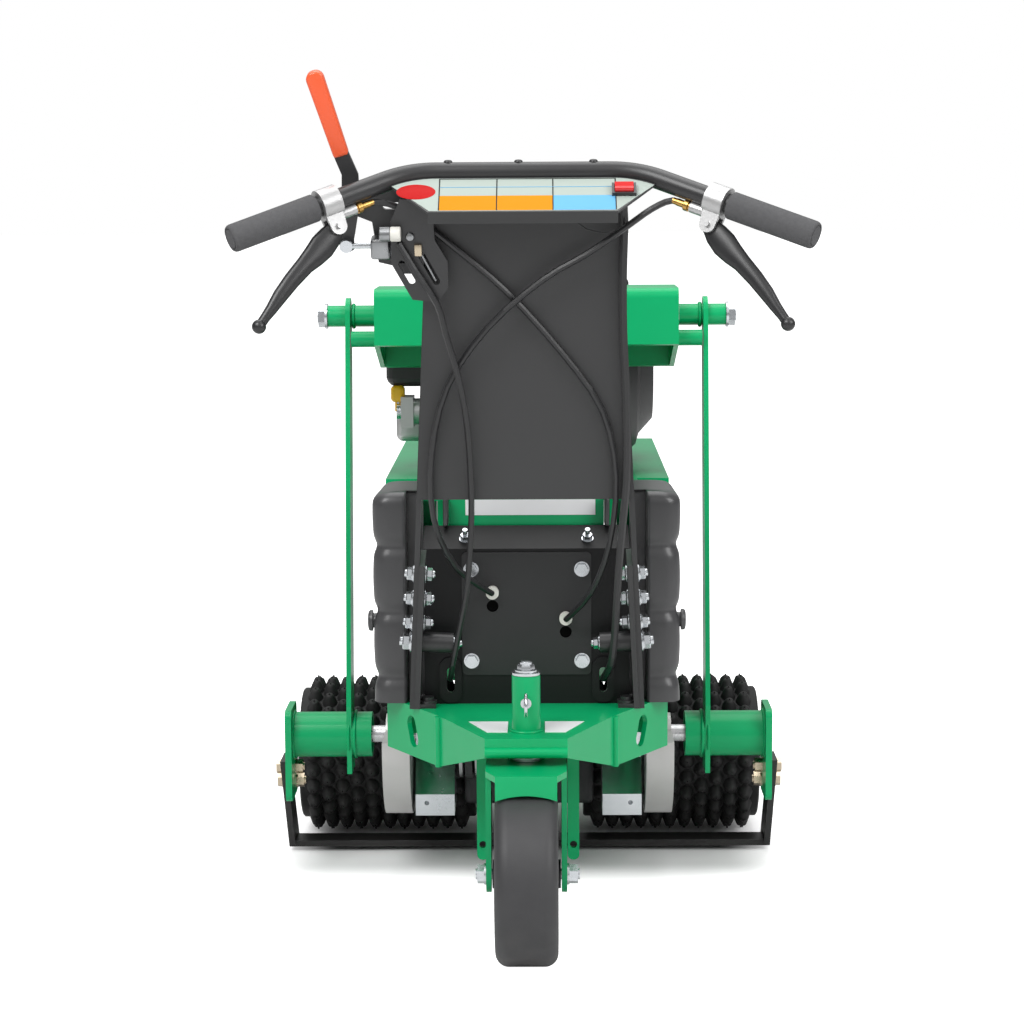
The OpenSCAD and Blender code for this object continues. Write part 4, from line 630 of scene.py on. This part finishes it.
def makeTread(name, node, side):
    bm = bmesh.new()
    root = drum["tip"] - drum["knob"]
    a = drum["inner"]
    b = a + drum["length"]
    bore = drum["bore"]
    cut = drum["edge"]
    sleeve = [(bore, a), (root - cut, a), (root, a + cut), (root, b - cut), (root - cut, b), (bore, b)]
    addTurned(bm, sleeve, steps=100, closed=True)
    knob = bmesh.new()
    addTurned(knob, drum["profile"], steps=10)
    seed = bpy.data.meshes.new("knobSeed")
    knob.to_mesh(seed)
    knob.free()
    pitch = drum["length"] / drum["cols"]
    outward = Matrix.Rotation(math.radians(90), 4, "Y")
    for j in range(1, drum["cols"]):
        for k in range(drum["rows"] // 2):
            around = Matrix.Rotation(math.tau * (2 * k + j % 2) / drum["rows"], 4, "Z")
            before = len(bm.verts)
            bm.from_mesh(seed)
            bm.verts.ensure_lookup_table()
            out = around @ Matrix.Translation((root, 0, a + j * pitch)) @ outward
            bmesh.ops.transform(bm, matrix=out, verts=bm.verts[before:])
    bpy.data.meshes.remove(seed)
    across = Matrix.Translation(drum["axle"]) @ Matrix.Rotation(math.radians(90 * side), 4, "Y")
    bmesh.ops.transform(bm, matrix=across, verts=bm.verts)
    piece = makePiece(name, bm, [knobRubber], "drive", 40)
    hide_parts(node)


makeTread("rightKnobTread", "right_tread", 1)
makeTread("leftKnobTread", "left_tread", -1)
print("treads done")


# small turned and cut pieces that the solids leave bare
brass = makeFinish("brass", {
    "color": (0.55, 0.33, 0.10), "shade": (0.46, 0.27, 0.08), "scale": 50, "rough": 0.3, "spread": 0.2,
    "metal": 1, "fine": 800, "broad": 160, "share": 0.4, "bump": 0.06, "depth": 0.0003,
})
yellowPlastic = makeFinish("yellowPlastic", {
    "color": (0.86, 0.50, 0.010), "shade": (0.80, 0.44, 0.008), "scale": 40, "rough": 0.32, "coat": 0.2,
    "broad": 120, "share": 0.4, "bump": 0.05, "depth": 0.0003,
})
plateWhite = makeFinish("plateWhite", {
    "color": (0.84, 0.85, 0.86), "shade": (0.80, 0.81, 0.82), "scale": 14, "rough": 0.36, "spread": 0.08,
    "coat": 0.2, "broad": 120, "bump": 0.03, "depth": 0.0002,
})


def facing(at, axis):
    return Matrix.Translation(at) @ Vector(axis).to_track_quat("Z", "Y").to_matrix().to_4x4()


adjuster = {
    "at": (0.046, 0, -0.016), "axis": (-1, 0, 0),
    "profile": [
        (0, 0), (0.0042, 0), (0.0046, 0.0004), (0.0046, 0.004), (0.0062, 0.0044), (0.0062, 0.0092),
        (0.0056, 0.0098), (0.0040, 0.0102), (0.0040, 0.0180), (0.0036, 0.0205), (0.0036, 0.024), (0, 0.024),
    ],
}
gripFoamShape = {
    "at": (0.0865, 0, 0), "axis": (1, 0, 0),
    "profile": [
        (0.0113, 0), (0.0142, 0), (0.0150, 0.0012), (0.0150, 0.0975), (0.0146, 0.0995), (0.0136, 0.1010),
        (0.0122, 0.1015), (0.0116, 0.1004), (0.0106, 0.1002), (0.0100, 0.1016), (0, 0.1018),
    ],
}


def makePairOnArms(name, item, mat, steps=28):
    bm = bmesh.new()
    for mirror in (Matrix(), flipX):
        addTurned(bm, item["profile"], mirror @ armFrame @ facing(item["at"], item["axis"]), steps)
    return makePiece(name, bm, [mat], "frame", 40)


makePairOnArms("cableAdjusters", adjuster, brass)
grips = makePairOnArms("foamGrips", gripFoamShape, gripFoam, 48)
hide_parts("grips")

domes = {
    "barRivets": {
        "places": [((x, -0.49083, 0.8874), (0, 0, 1)) for x in (-0.081, -0.005, 0.076)],
        "profile": [(0.0048, 0), (0.0047, 0.0012), (0.0040, 0.0024), (0.0024, 0.0031), (0, 0.0033)],
        "mat": blackPowder, "slot": "black_paint",
    },
    "coverKnobs": {
        "places": [((0.1765, -0.283, 0.350), (1, 0, 0)), ((-0.1765, -0.283, 0.350), (-1, 0, 0))],
        "profile": [
            (0.0090, 0), (0.0085, 0.006), (0.0125, 0.0066), (0.0125, 0.0098), (0.0112, 0.0116),
            (0.008, 0.0124), (0, 0.0124),
        ],
        "mat": coverPlastic, "slot": "black_plastic",
    },
    "frameCaps": {
        "places": [((0.124, -0.280, 0.2548), (0, 0, 1)), ((-0.124, -0.280, 0.2548), (0, 0, 1))],
        "profile": [
            (0.0115, 0), (0.0115, 0.0016), (0.0104, 0.0036), (0.0086, 0.0062), (0.0062, 0.0072), (0, 0.0074),
        ],
        "mat": coverPlastic, "slot": "black_plastic",
    },
}


def makeDomes(name, item):
    bm = bmesh.new()
    for at, axis in item["places"]:
        addTurned(bm, item["profile"], facing(at, axis), 32)
    makePiece(name, bm, [item["mat"]], "frame", 40)


for name, item in domes.items():
    makeDomes(name, item)
print("small turned pieces done")


# bare plates: one on the deck flange, two on the rear frame, and tabs at the flange ends
deckPlate = {"low": (-0.0723, -0.2741, 0.4746), "high": (0.0819, -0.2734, 0.4931)}
framePlate = {
    "inner": 0.021, "outer": 0.066, "cut": 0.044, "front": -0.4155, "rear": -0.4715, "level": 0.255,
    "thick": 0.0005,
}
flangeTab = {"low": (0.0922, -0.2905, 0.4630), "high": (0.0985, -0.2675, 0.4968), "round": 0.0025}


def makePlates():
    bm = bmesh.new()
    addBlock(bm, deckPlate["low"], deckPlate["high"])
    for side in (1, -1):
        corners = [("inner", "front"), ("outer", "front"), ("cut", "rear"), ("inner", "rear")]
        ring = [bm.verts.new((side * framePlate[a], framePlate[b], framePlate["level"])) for a, b in corners]
        face = bm.faces.new(ring)
        raised = bmesh.ops.extrude_face_region(bm, geom=[face])
        top = [v for v in raised["geom"] if isinstance(v, bmesh.types.BMVert)]
        bmesh.ops.translate(bm, vec=(0, 0, framePlate["thick"]), verts=top)
    makePiece("barePlates", bm, [plateWhite], "frame")
    bm = bmesh.new()
    for mirror in (Matrix(), flipX):
        addBlock(bm, flangeTab["low"], flangeTab["high"], flangeTab["round"], mirror, 0, 3)
    makePiece("flangeTabs", bm, [coverPlastic], "frame")


makePlates()
print("plates done")


# yellow throttle knob, carburettor body and the thin wire under the panel
throttleKnob = {
    "low": (-0.1778, 0.0255, 0.583), "high": (-0.1595, 0.0395, 0.605), "round": 0.0055,
    "stemLow": (-0.1725, 0.0290, 0.571), "stemHigh": (-0.1650, 0.0360, 0.586), "stemRound": 0.001,
}
carbBody = {"low": (-0.172, 0.0425, 0.530), "high": (-0.120, 0.0850, 0.577), "round": 0.009}
panelWire = {
    "size": 0.0017,
    "path": [
        (0.0497, -0.0375, 0.616), (0.0510, -0.0385, 0.608), (0.0562, -0.0400, 0.601),
        (0.0681, -0.0415, 0.593), (0.0832, -0.0420, 0.589), (0.1000, -0.0410, 0.590),
        (0.1090, -0.0380, 0.596), (0.1095, -0.0330, 0.603),
    ],
}


def makeThrottleKnob():
    bm = bmesh.new()
    addBlock(bm, throttleKnob["low"], throttleKnob["high"], throttleKnob["round"], segments=5)
    addBlock(bm, throttleKnob["stemLow"], throttleKnob["stemHigh"], throttleKnob["stemRound"])
    makePiece("throttleKnob", bm, [yellowPlastic], "throttle", 50)


def makeCarbBody():
    bm = bmesh.new()
    addBlock(bm, carbBody["low"], carbBody["high"], carbBody["round"], segments=5)
    makePiece("carbBody", bm, [greyCasting], "frame", 50)


def makePanelWire():
    bm = bmesh.new()
    stations = [(p, panelWire["size"], panelWire["size"]) for p in panelWire["path"]]
    addLoft(bm, stations, (0, 1, 0), leanFrame, 10)
    makePiece("panelWire", bm, [sheathBlack], "frame", 60)


makeThrottleKnob()
makeCarbBody()
makePanelWire()
print("throttle knob, carburettor body and wire done")


# weld beads: a rippled loft round each joint
weld = {"thick": 0.0048, "thin": 0.0036, "steps": 40}
lowerTube = {"across": (0.2193, 0.2267, 0.2973), "y": -0.1035, "z": 0.172, "radius": 0.0287}
upperTube = {"across": (0.2193, 0.2267), "y": -0.0385, "z": 0.699, "radius": 0.0138}
weldRings = {
    "frame": [((0, -0.4615, 0.2556), (0, 0, 1), 0.0164)],
    "carrier": [
        ((side * x, tube["y"], tube["z"]), (1, 0, 0), tube["radius"])
        for side in (1, -1)
        for tube in (lowerTube, upperTube)
        for x in tube["across"]
    ],
}


def addWeldRing(bm, at, axis, radius):
    place = facing(at, axis)
    count = weld["steps"] * 2
    stations = []
    for k in range(count + 1):
        turnBy = math.tau * k / count
        size = weld["thick"] if k % 2 else weld["thin"]
        point = place @ Vector((radius * math.cos(turnBy), radius * math.sin(turnBy), 0))
        stations.append((point, size, size))
    addLoft(bm, stations, axis, segments=8)


for body, rings in weldRings.items():
    bm = bmesh.new()
    for ring in rings:
        addWeldRing(bm, *ring)
    makePiece(body + "Welds", bm, [greenEnamel], body, 70)
print("welds done")


# gear of the speed lever on the slotted bracket, in the leaning frame
speedGear = {
    "clevisLow": (-0.1665, -0.0160, 0.5520), "clevisHigh": (-0.1445, 0.0070, 0.5745), "clevisRound": 0.003,
    "bush": [(0, 0), (0.0070, 0), (0.0078, 0.0008), (0.0078, 0.0112), (0.0070, 0.012), (0, 0.012)],
    "nylon": [(0, 0.012), (0.0074, 0.012), (0.0080, 0.0128), (0.0080, 0.0222), (0.0072, 0.023), (0, 0.023)],
    "bushAt": (-0.1545, -0.0436, 0.5895),
    "head": [(0.0048, 0), (0.0048, 0.0012), (0.0040, 0.0030), (0.0020, 0.0038), (0, 0.0040)],
    "headAt": (-0.1220, -0.0360, 0.5845),
    "stopLow": (-0.1175, -0.0410, 0.5635), "stopHigh": (-0.1095, -0.0358, 0.5765), "stopRound": 0.001,
    "spring": [(-0.1120, -0.0335, 0.5670), (-0.1035, -0.0335, 0.5500), (-0.0955, -0.0335, 0.5340)],
    "springSize": 0.0036,
}


def makeSpeedGear():
    bm = bmesh.new()
    addBlock(bm, speedGear["clevisLow"], speedGear["clevisHigh"], speedGear["clevisRound"], leanFrame, 0, 3)
    makePiece("rodClevis", bm, [dullZinc], "slide", 40)
    bm = bmesh.new()
    along = leanFrame @ facing(speedGear["bushAt"], (1, 0, 0))
    addTurned(bm, speedGear["bush"], along, 28, 0)
    addTurned(bm, speedGear["nylon"], along, 28, 1)
    addTurned(bm, speedGear["head"], leanFrame @ facing(speedGear["headAt"], (0, -1, 0)), 24, 0)
    addBlock(bm, speedGear["stopLow"], speedGear["stopHigh"], speedGear["stopRound"], leanFrame, 2)
    size = speedGear["springSize"]
    addLoft(bm, [(p, size, size) for p in speedGear["spring"]], (0, 1, 0), leanFrame, 12, 0)
    makePiece("bracketGear", bm, [dullZinc, whiteNylon, yellowZinc], "frame", 40)


makeSpeedGear()
print("speed lever gear done")


# moulded side covers: a rounded shell with three swages and a set-back inner wall
mould = {
    "outer": 0.1817, "edge": 0.1410, "inner": 0.1218, "rear": -0.3112, "setBack": -0.2875, "front": -0.0998,
    "low": 0.2552, "top": 0.5077, "corner": 0.019, "lip": 0.005, "brow": 0.016, "wall": 0.003,
    "swages": (0.286, 0.364, 0.442), "swageDepth": 0.0046, "swageHalf": 0.0080, "crown": 0.0010,
    "slopeFrom": 0.456, "slope": 0.22, "arcSteps": 8, "rows": 66, "browSteps": 6, "sideSteps": 24,
    "archAt": (-0.1035, 0.172), "archReach": 0.1045, "archTop": 0.2795,
}


def coverArc(cx, cy, radius, start, end):
    steps = mould["arcSteps"]
    turns = [math.radians(start + (end - start) * k / steps) for k in range(steps + 1)]
    return [(cx + radius * math.cos(a), cy + radius * math.sin(a)) for a in turns]


def coverPath(inset, skin):
    m = mould
    side = m["outer"] - inset - skin
    rear = m["rear"] + inset + skin
    front = m["front"] - inset - skin
    edge = m["edge"] + skin
    back = m["setBack"] + skin
    r = min(m["corner"] - skin, side - edge - 2 * m["lip"])
    path = [(m["inner"], back), (edge, back)]
    path += coverArc(edge + m["lip"], rear + m["lip"], m["lip"], 180, 270)
    path += coverArc(side - r, rear + r, r, 270, 360)
    run = front - rear - 2 * r
    path += [(side, rear + r + run * k / m["sideSteps"]) for k in range(1, m["sideSteps"])]
    path += coverArc(side - r, front - r, r, 0, 90)
    path += [(m["inner"], front)]
    return path


# how far the wall stands in at a height: swages pull it in, the bays between them crown out
def coverInset(z):
    m = mould
    pull = sum(math.exp(-((z - s) / m["swageHalf"]) ** 2) for s in m["swages"])
    pitch = m["swages"][1] - m["swages"][0]
    bay = math.cos(math.pi * (z - m["swages"][0]) / pitch) ** 2
    return m["swageDepth"] * pull + m["crown"] * bay * (1 - min(pull, 1))


def coverRows(skin):
    m = mould
    top = m["top"] - skin
    rise = top - m["brow"] - m["low"]
    rows = []
    for k in range(m["rows"] + 1):
        z = m["low"] + rise * k / m["rows"]
        rows.append((coverPath(coverInset(z), skin), z))
    last = coverInset(top - m["brow"])
    for k in range(1, m["browSteps"] + 1):
        a = math.pi / 2 * k / m["browSteps"]
        inset = last + m["brow"] * (1 - math.cos(a))
        rows.append((coverPath(inset, skin), top - m["brow"] * (1 - math.sin(a))))
    rows.append(([(m["inner"], y) for x, y in rows[-1][0]], top))
    return rows


# the roof falls a little towards the front, and the lower rim arches over the spinning weights
def coverPoint(x, y, z):
    m = mould
    away = y - m["archAt"][0]
    rim = m["archAt"][1] + math.sqrt(max(m["archReach"] ** 2 - away ** 2, 0))
    if z < m["archTop"] and rim > m["low"]:
        z = m["archTop"] - (m["archTop"] - z) * (m["archTop"] - rim) / (m["archTop"] - m["low"])
    along = (y - m["rear"]) / (m["front"] - m["rear"])
    if z > m["slopeFrom"]:
        z = m["slopeFrom"] + (z - m["slopeFrom"]) * (1 - m["slope"] * along)
    return (x, y, z)


# one skin of the shell; gives the edges of its rim
def addCoverSkin(bm, skin):
    before = set(bm.edges)
    loops = []
    for path, z in coverRows(skin):
        verts = [bm.verts.new(coverPoint(x, y, z)) for x, y in path]
        loops.append([bm.edges.new(pair) for pair in zip(verts, verts[1:])])
    for a, b in zip(loops, loops[1:]):
        bmesh.ops.bridge_loops(bm, edges=a + b)
    fresh = {v for e in bm.edges if e not in before for v in e.verts}
    bmesh.ops.remove_doubles(bm, verts=list(fresh), dist=mergeGap)
    return [e for e in bm.edges if e not in before and len(e.link_faces) == 1]


def makeCover(name, node, place):
    bm = bmesh.new()
    rim = addCoverSkin(bm, 0)
    rim += addCoverSkin(bm, mould["wall"])
    bmesh.ops.bridge_loops(bm, edges=rim)
    bmesh.ops.transform(bm, matrix=place, verts=bm.verts)
    piece = makePiece(name, bm, [coverPlastic], "frame", 50)
    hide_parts(node)


makeCover("rightMouldedCover", "right_side_cover", Matrix())
makeCover("leftMouldedCover", "left_side_cover", flipX)
print("side covers done")


# bolts of the mast: flanged hex nuts with a little thread beyond them
mastSide = {"out": 0.132, "toe": -3.1}
mastTurn = Matrix.Rotation(math.radians(mastSide["toe"]), 4, "Y")
mastFrame = leanFrame @ Matrix.Translation((mastSide["out"], 0, 0)) @ mastTurn
mastBolt = {
    "flange": [(0, 0), (0.0098, 0), (0.0102, 0.0005), (0.0102, 0.0012), (0.0080, 0.0030), (0, 0.0030)],
    "hex": [(0, 0.0026), (0.0076, 0.0026), (0.0076, 0.0078), (0.0068, 0.0088), (0, 0.0088)],
    "thread": [(0.0046, 0.0084), (0.0046, 0.0106), (0.0038, 0.0116), (0, 0.0116)],
    "heights": (0.108, 0.139, 0.170), "outside": 0.006, "inside": -0.0063,
    "hingeAt": 0.083, "hingeGrow": 1.28, "sleeveEnd": -0.042, "sleeveShrink": 0.9, "shank": 0.0048,
    "plateHeights": (0.546, 0.614), "plateOut": 0.010, "plateShrink": 0.58,
}


def addMastNut(bm, place, grow=1.0):
    scaled = place @ Matrix.Scale(grow, 4)
    addTurned(bm, mastBolt["flange"], scaled, 32)
    addTurned(bm, mastBolt["hex"], scaled, 6)
    addTurned(bm, mastBolt["thread"], scaled, 20)


# a nut at each end and the shank between them
def addMastBolt(bm, base, z, end, growOut=1.0, growIn=1.0):
    outside = mastBolt["outside"]
    shank = mastBolt["shank"]
    reach = outside - end
    addMastNut(bm, base @ facing((outside, 0, z), (1, 0, 0)), growOut)
    addMastNut(bm, base @ facing((end, 0, z), (-1, 0, 0)), growIn)
    addTurned(
        bm, [(0, 0), (shank, 0), (shank, reach), (0, reach)], base @ facing((end, 0, z), (1, 0, 0)), 20)


def makeMastBolts():
    bm = bmesh.new()
    for mirror in (Matrix(), flipX):
        base = mirror @ mastFrame
        for z in mastBolt["heights"]:
            addMastBolt(bm, base, z, mastBolt["inside"])
        addMastBolt(
            bm, base, mastBolt["hingeAt"], mastBolt["sleeveEnd"], mastBolt["hingeGrow"],
            mastBolt["sleeveShrink"])
    for z in mastBolt["plateHeights"]:
        place = flipX @ mastFrame @ facing((mastBolt["plateOut"], 0, z), (1, 0, 0))
        addMastNut(bm, place, mastBolt["plateShrink"])
    piece = makePiece("mastNuts", bm, [zincPlate], "frame", 30)
    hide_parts("handle_bolts")


makeMastBolts()
print("mast bolts done")


# caster stem with a washer and a crowned nut above the swivel tube
stem = {
    "place": (0, -0.4615, 0),
    "turned": [
        (0, 0.223), (0.0205, 0.223), (0.0210, 0.2235), (0.0210, 0.2275), (0.0205, 0.2280), (0.0090, 0.2280),
        (0.0090, 0.3193), (0.0160, 0.3193), (0.0165, 0.3198), (0.0165, 0.3222), (0.0160, 0.3227),
        (0.0130, 0.3227), (0.0130, 0.3250), (0.0070, 0.3250), (0.0070, 0.3335), (0.0058, 0.3348), (0, 0.3350),
    ],
    "nut": [(0, 0.3248), (0.0098, 0.3248), (0.0098, 0.3296), (0.0088, 0.3312), (0, 0.3312)],
}


def makeStem():
    bm = bmesh.new()
    place = Matrix.Translation(stem["place"])
    addTurned(bm, stem["turned"], place, 36)
    addTurned(bm, stem["nut"], place, 6)
    piece = makePiece("stemAndNut", bm, [zincPlate], "caster", 30)
    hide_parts("caster_stem")


makeStem()
print("caster stem done")


# near-black discs behind the two round holes of the cover plate: painted shade standing for the depth behind
# them
paintedHoleShade = makeFinish("paintedHoleShade", {
    "color": (0.0015, 0.0015, 0.0015), "shade": (0.002, 0.002, 0.002), "scale": 20, "rough": 0.9,
    "specular": 0.05,
})
ports = {
    "places": [(-0.040, -0.3136, 0.372), (0.046, -0.3136, 0.341)],
    "disc": [(0, 0.0003), (0.0069, 0.0003), (0.0069, 0)],
}


# each disc is a painted shadow sheet set in a hole
def makePaintedHoleShade():
    bm = bmesh.new()
    for at in ports["places"]:
        addTurned(bm, ports["disc"], facing(at, (0, -1, 0)), 32)
    makePiece("paintedHoleShadeDiscs", bm, [paintedHoleShade], "frame", 40)


makePaintedHoleShade()
print("port depths done")


# vinyl sleeve of the speed lever: flat sided, round topped, a little wider above
sleeveShape = {
    "at": (-0.197, 0.01125, 0.664), "lean": math.atan2(-0.025, 0.083),
    "low": (-0.0098, -0.0070, -0.002), "high": (0.0098, 0.0070, 0.0945),
    "crown": 0.0090, "crownSteps": 10, "soft": 0.0030, "softSteps": 3, "softFrom": 40, "narrow": 0.86,
}


def makeSleeve():
    bm = bmesh.new()
    low = Vector(sleeveShape["low"])
    high = Vector(sleeveShape["high"])
    addBlock(bm, low, high)
    above = [e for e in bm.edges if all(v.co.z > 0 for v in e.verts)]
    crown = [e for e in above if e.verts[0].co.x * e.verts[1].co.x > 0]
    bmesh.ops.bevel(
        bm, geom=crown, offset=sleeveShape["crown"], affect="EDGES", segments=sleeveShape["crownSteps"],
        profile=0.5)
    rim = [e for e in bm.edges if e.calc_face_angle(0) > math.radians(sleeveShape["softFrom"])]
    bmesh.ops.bevel(
        bm, geom=rim, offset=sleeveShape["soft"], affect="EDGES", segments=sleeveShape["softSteps"],
        profile=0.5, clamp_overlap=True)
    for v in bm.verts:
        share = (v.co.z - low.z) / (high.z - low.z)
        v.co.x *= sleeveShape["narrow"] + (1 - sleeveShape["narrow"]) * share
    place = leanFrame @ Matrix.Translation(sleeveShape["at"]) @ Matrix.Rotation(sleeveShape["lean"], 4, "Y")
    bmesh.ops.transform(bm, matrix=place, verts=bm.verts)
    piece = makePiece("vinylSleeve", bm, [orangeVinyl], "speed", 40)
    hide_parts("lever_sleeve")


makeSleeve()
print("lever sleeve done")


# white floor that keeps a soft shadow, and plain studio light
studio = {
    "floor": 40.0, "floorColor": (0.78, 0.78, 0.78, 1), "shadeAt": (0, 0.07, 0), "shadeHalf": (0.25, 0.16, 1),
    "near": (0.0, 0.0), "far": (0.13, 1.0), "world": 0.5,
    "mirrorLow": 0.30, "mirrorHigh": 0.9, "lowAt": -0.1, "highAt": 0.6,
    "sideFrom": 0.30, "sideTo": 0.75, "sideShare": 0.35,
}


def makeFloor():
    bm = bmesh.new()
    bmesh.ops.create_grid(bm, x_segments=2, y_segments=2, size=studio["floor"])
    mesh = bpy.data.meshes.new("floor")
    bm.to_mesh(mesh)
    bm.free()
    floor = bpy.data.objects.new("floor", mesh)
    scene.collection.objects.link(floor)
    mat = bpy.data.materials.new("floorWhite")
    mat.use_nodes = True
    tree = mat.node_tree
    tree.nodes.remove(tree.nodes["Principled BSDF"])
    diffuse = addNode(tree, "ShaderNodeBsdfDiffuse")
    diffuse.inputs["Color"].default_value = studio["floorColor"]
    glow = addNode(tree, "ShaderNodeEmission")
    path = addNode(tree, "ShaderNodeLightPath")
    share = addNode(tree, "ShaderNodeMath", operation="MULTIPLY")
    geo = addNode(tree, "ShaderNodeNewGeometry")
    shift = addNode(tree, "ShaderNodeVectorMath", operation="SUBTRACT")
    shift.inputs[1].default_value = studio["shadeAt"]
    fold = addNode(tree, "ShaderNodeVectorMath", operation="ABSOLUTE")
    trim = addNode(tree, "ShaderNodeVectorMath", operation="SUBTRACT")
    trim.inputs[1].default_value = studio["shadeHalf"]
    clear = addNode(tree, "ShaderNodeVectorMath", operation="MAXIMUM")
    clear.inputs[1].default_value = (0, 0, 0)
    span = addNode(tree, "ShaderNodeVectorMath", operation="LENGTH")
    fade = addNode(tree, "ShaderNodeMapRange", interpolation_type="SMOOTHSTEP")
    setInputs(fade, {
        "From Min": studio["near"][0], "From Max": studio["far"][0], "To Min": studio["near"][1],
        "To Max": studio["far"][1],
    })
    both = addNode(tree, "ShaderNodeAddShader")
    link = tree.links.new
    wire(tree, [
        (geo, "Position", shift, 0), (shift, "Vector", fold, 0), (fold, "Vector", trim, 0),
        (trim, "Vector", clear, 0), (clear, "Vector", span, 0), (span, "Value", fade, "Value"),
        (fade, "Result", share, 1), (path, "Is Camera Ray", share, 0), (share, "Value", glow, "Strength"),
        (diffuse, "BSDF", both, 0), (glow, "Emission", both, 1),
    ])
    link(both.outputs["Shader"], tree.nodes["Material Output"].inputs["Surface"])
    mesh.materials.append(mat)


def makeWorld():
    world = bpy.data.worlds.new("studio")
    scene.world = world
    world.use_nodes = True
    tree = world.node_tree
    tree.nodes.clear()
    sky = addNode(tree, "ShaderNodeBackground")
    sky.inputs["Color"].default_value = (1, 1, 1, 1)
    path = addNode(tree, "ShaderNodeLightPath")
    sharp = addNode(tree, "ShaderNodeMath", operation="MAXIMUM")
    level = addNode(tree, "ShaderNodeMix", data_type="FLOAT")
    level.inputs[2].default_value = studio["world"]
    seen = addNode(tree, "ShaderNodeMix", data_type="FLOAT")
    seen.inputs[3].default_value = 1.0
    out = addNode(tree, "ShaderNodeOutputWorld")
    coords = addNode(tree, "ShaderNodeTexCoord")
    parts = addNode(tree, "ShaderNodeSeparateXYZ")
    height = addNode(tree, "ShaderNodeMapRange", interpolation_type="SMOOTHSTEP")
    setInputs(height, {
        "From Min": studio["lowAt"], "From Max": studio["highAt"], "To Min": studio["mirrorLow"],
        "To Max": studio["mirrorHigh"],
    })
    aside = addNode(tree, "ShaderNodeMath", operation="ABSOLUTE")
    sides = addNode(tree, "ShaderNodeMapRange", interpolation_type="SMOOTHSTEP")
    setInputs(sides, {
        "From Min": studio["sideFrom"], "From Max": studio["sideTo"], "To Min": 1.0,
        "To Max": studio["sideShare"],
    })
    mirror = addNode(tree, "ShaderNodeMath", operation="MULTIPLY")
    wire(tree, [
        (coords, "Generated", parts, 0), (parts, "Z", height, "Value"), (parts, "X", aside, 0),
        (aside, "Value", sides, "Value"), (height, "Result", mirror, 0), (sides, "Result", mirror, 1),
        (mirror, "Value", level, 3), (path, "Is Glossy Ray", sharp, 0),
        (path, "Is Transmission Ray", sharp, 1), (sharp, "Value", level, 0),
        (path, "Is Camera Ray", seen, 0), (level, 0, seen, 2), (seen, 0, sky, "Strength"),
        (sky, "Background", out, "Surface"),
    ])


lamps = {
    "key": {"place": (-1.6, -2.4, 3.0), "aim": (0, 0, 0.4), "size": 1.8, "watts": 95},
    "fill": {"place": (2.4, -2.0, 2.2), "aim": (0, 0, 0.4), "size": 1.8, "watts": 62},
    "top": {"place": (0, 0.4, 3.2), "aim": (0, 0, 0.3), "size": 2.4, "watts": 45},
}


def makeLamps():
    for name, lamp in lamps.items():
        data = bpy.data.lights.new(name, "AREA")
        data.shape = "SQUARE"
        data.size = lamp["size"]
        data.energy = lamp["watts"]
        obj = bpy.data.objects.new(name, data)
        obj.location = lamp["place"]
        aim = Vector(lamp["aim"]) - Vector(lamp["place"])
        obj.rotation_euler = aim.to_track_quat("-Z", "Y").to_euler()
        scene.collection.objects.link(obj)


makeFloor()
makeWorld()
makeLamps()
print("studio ready")
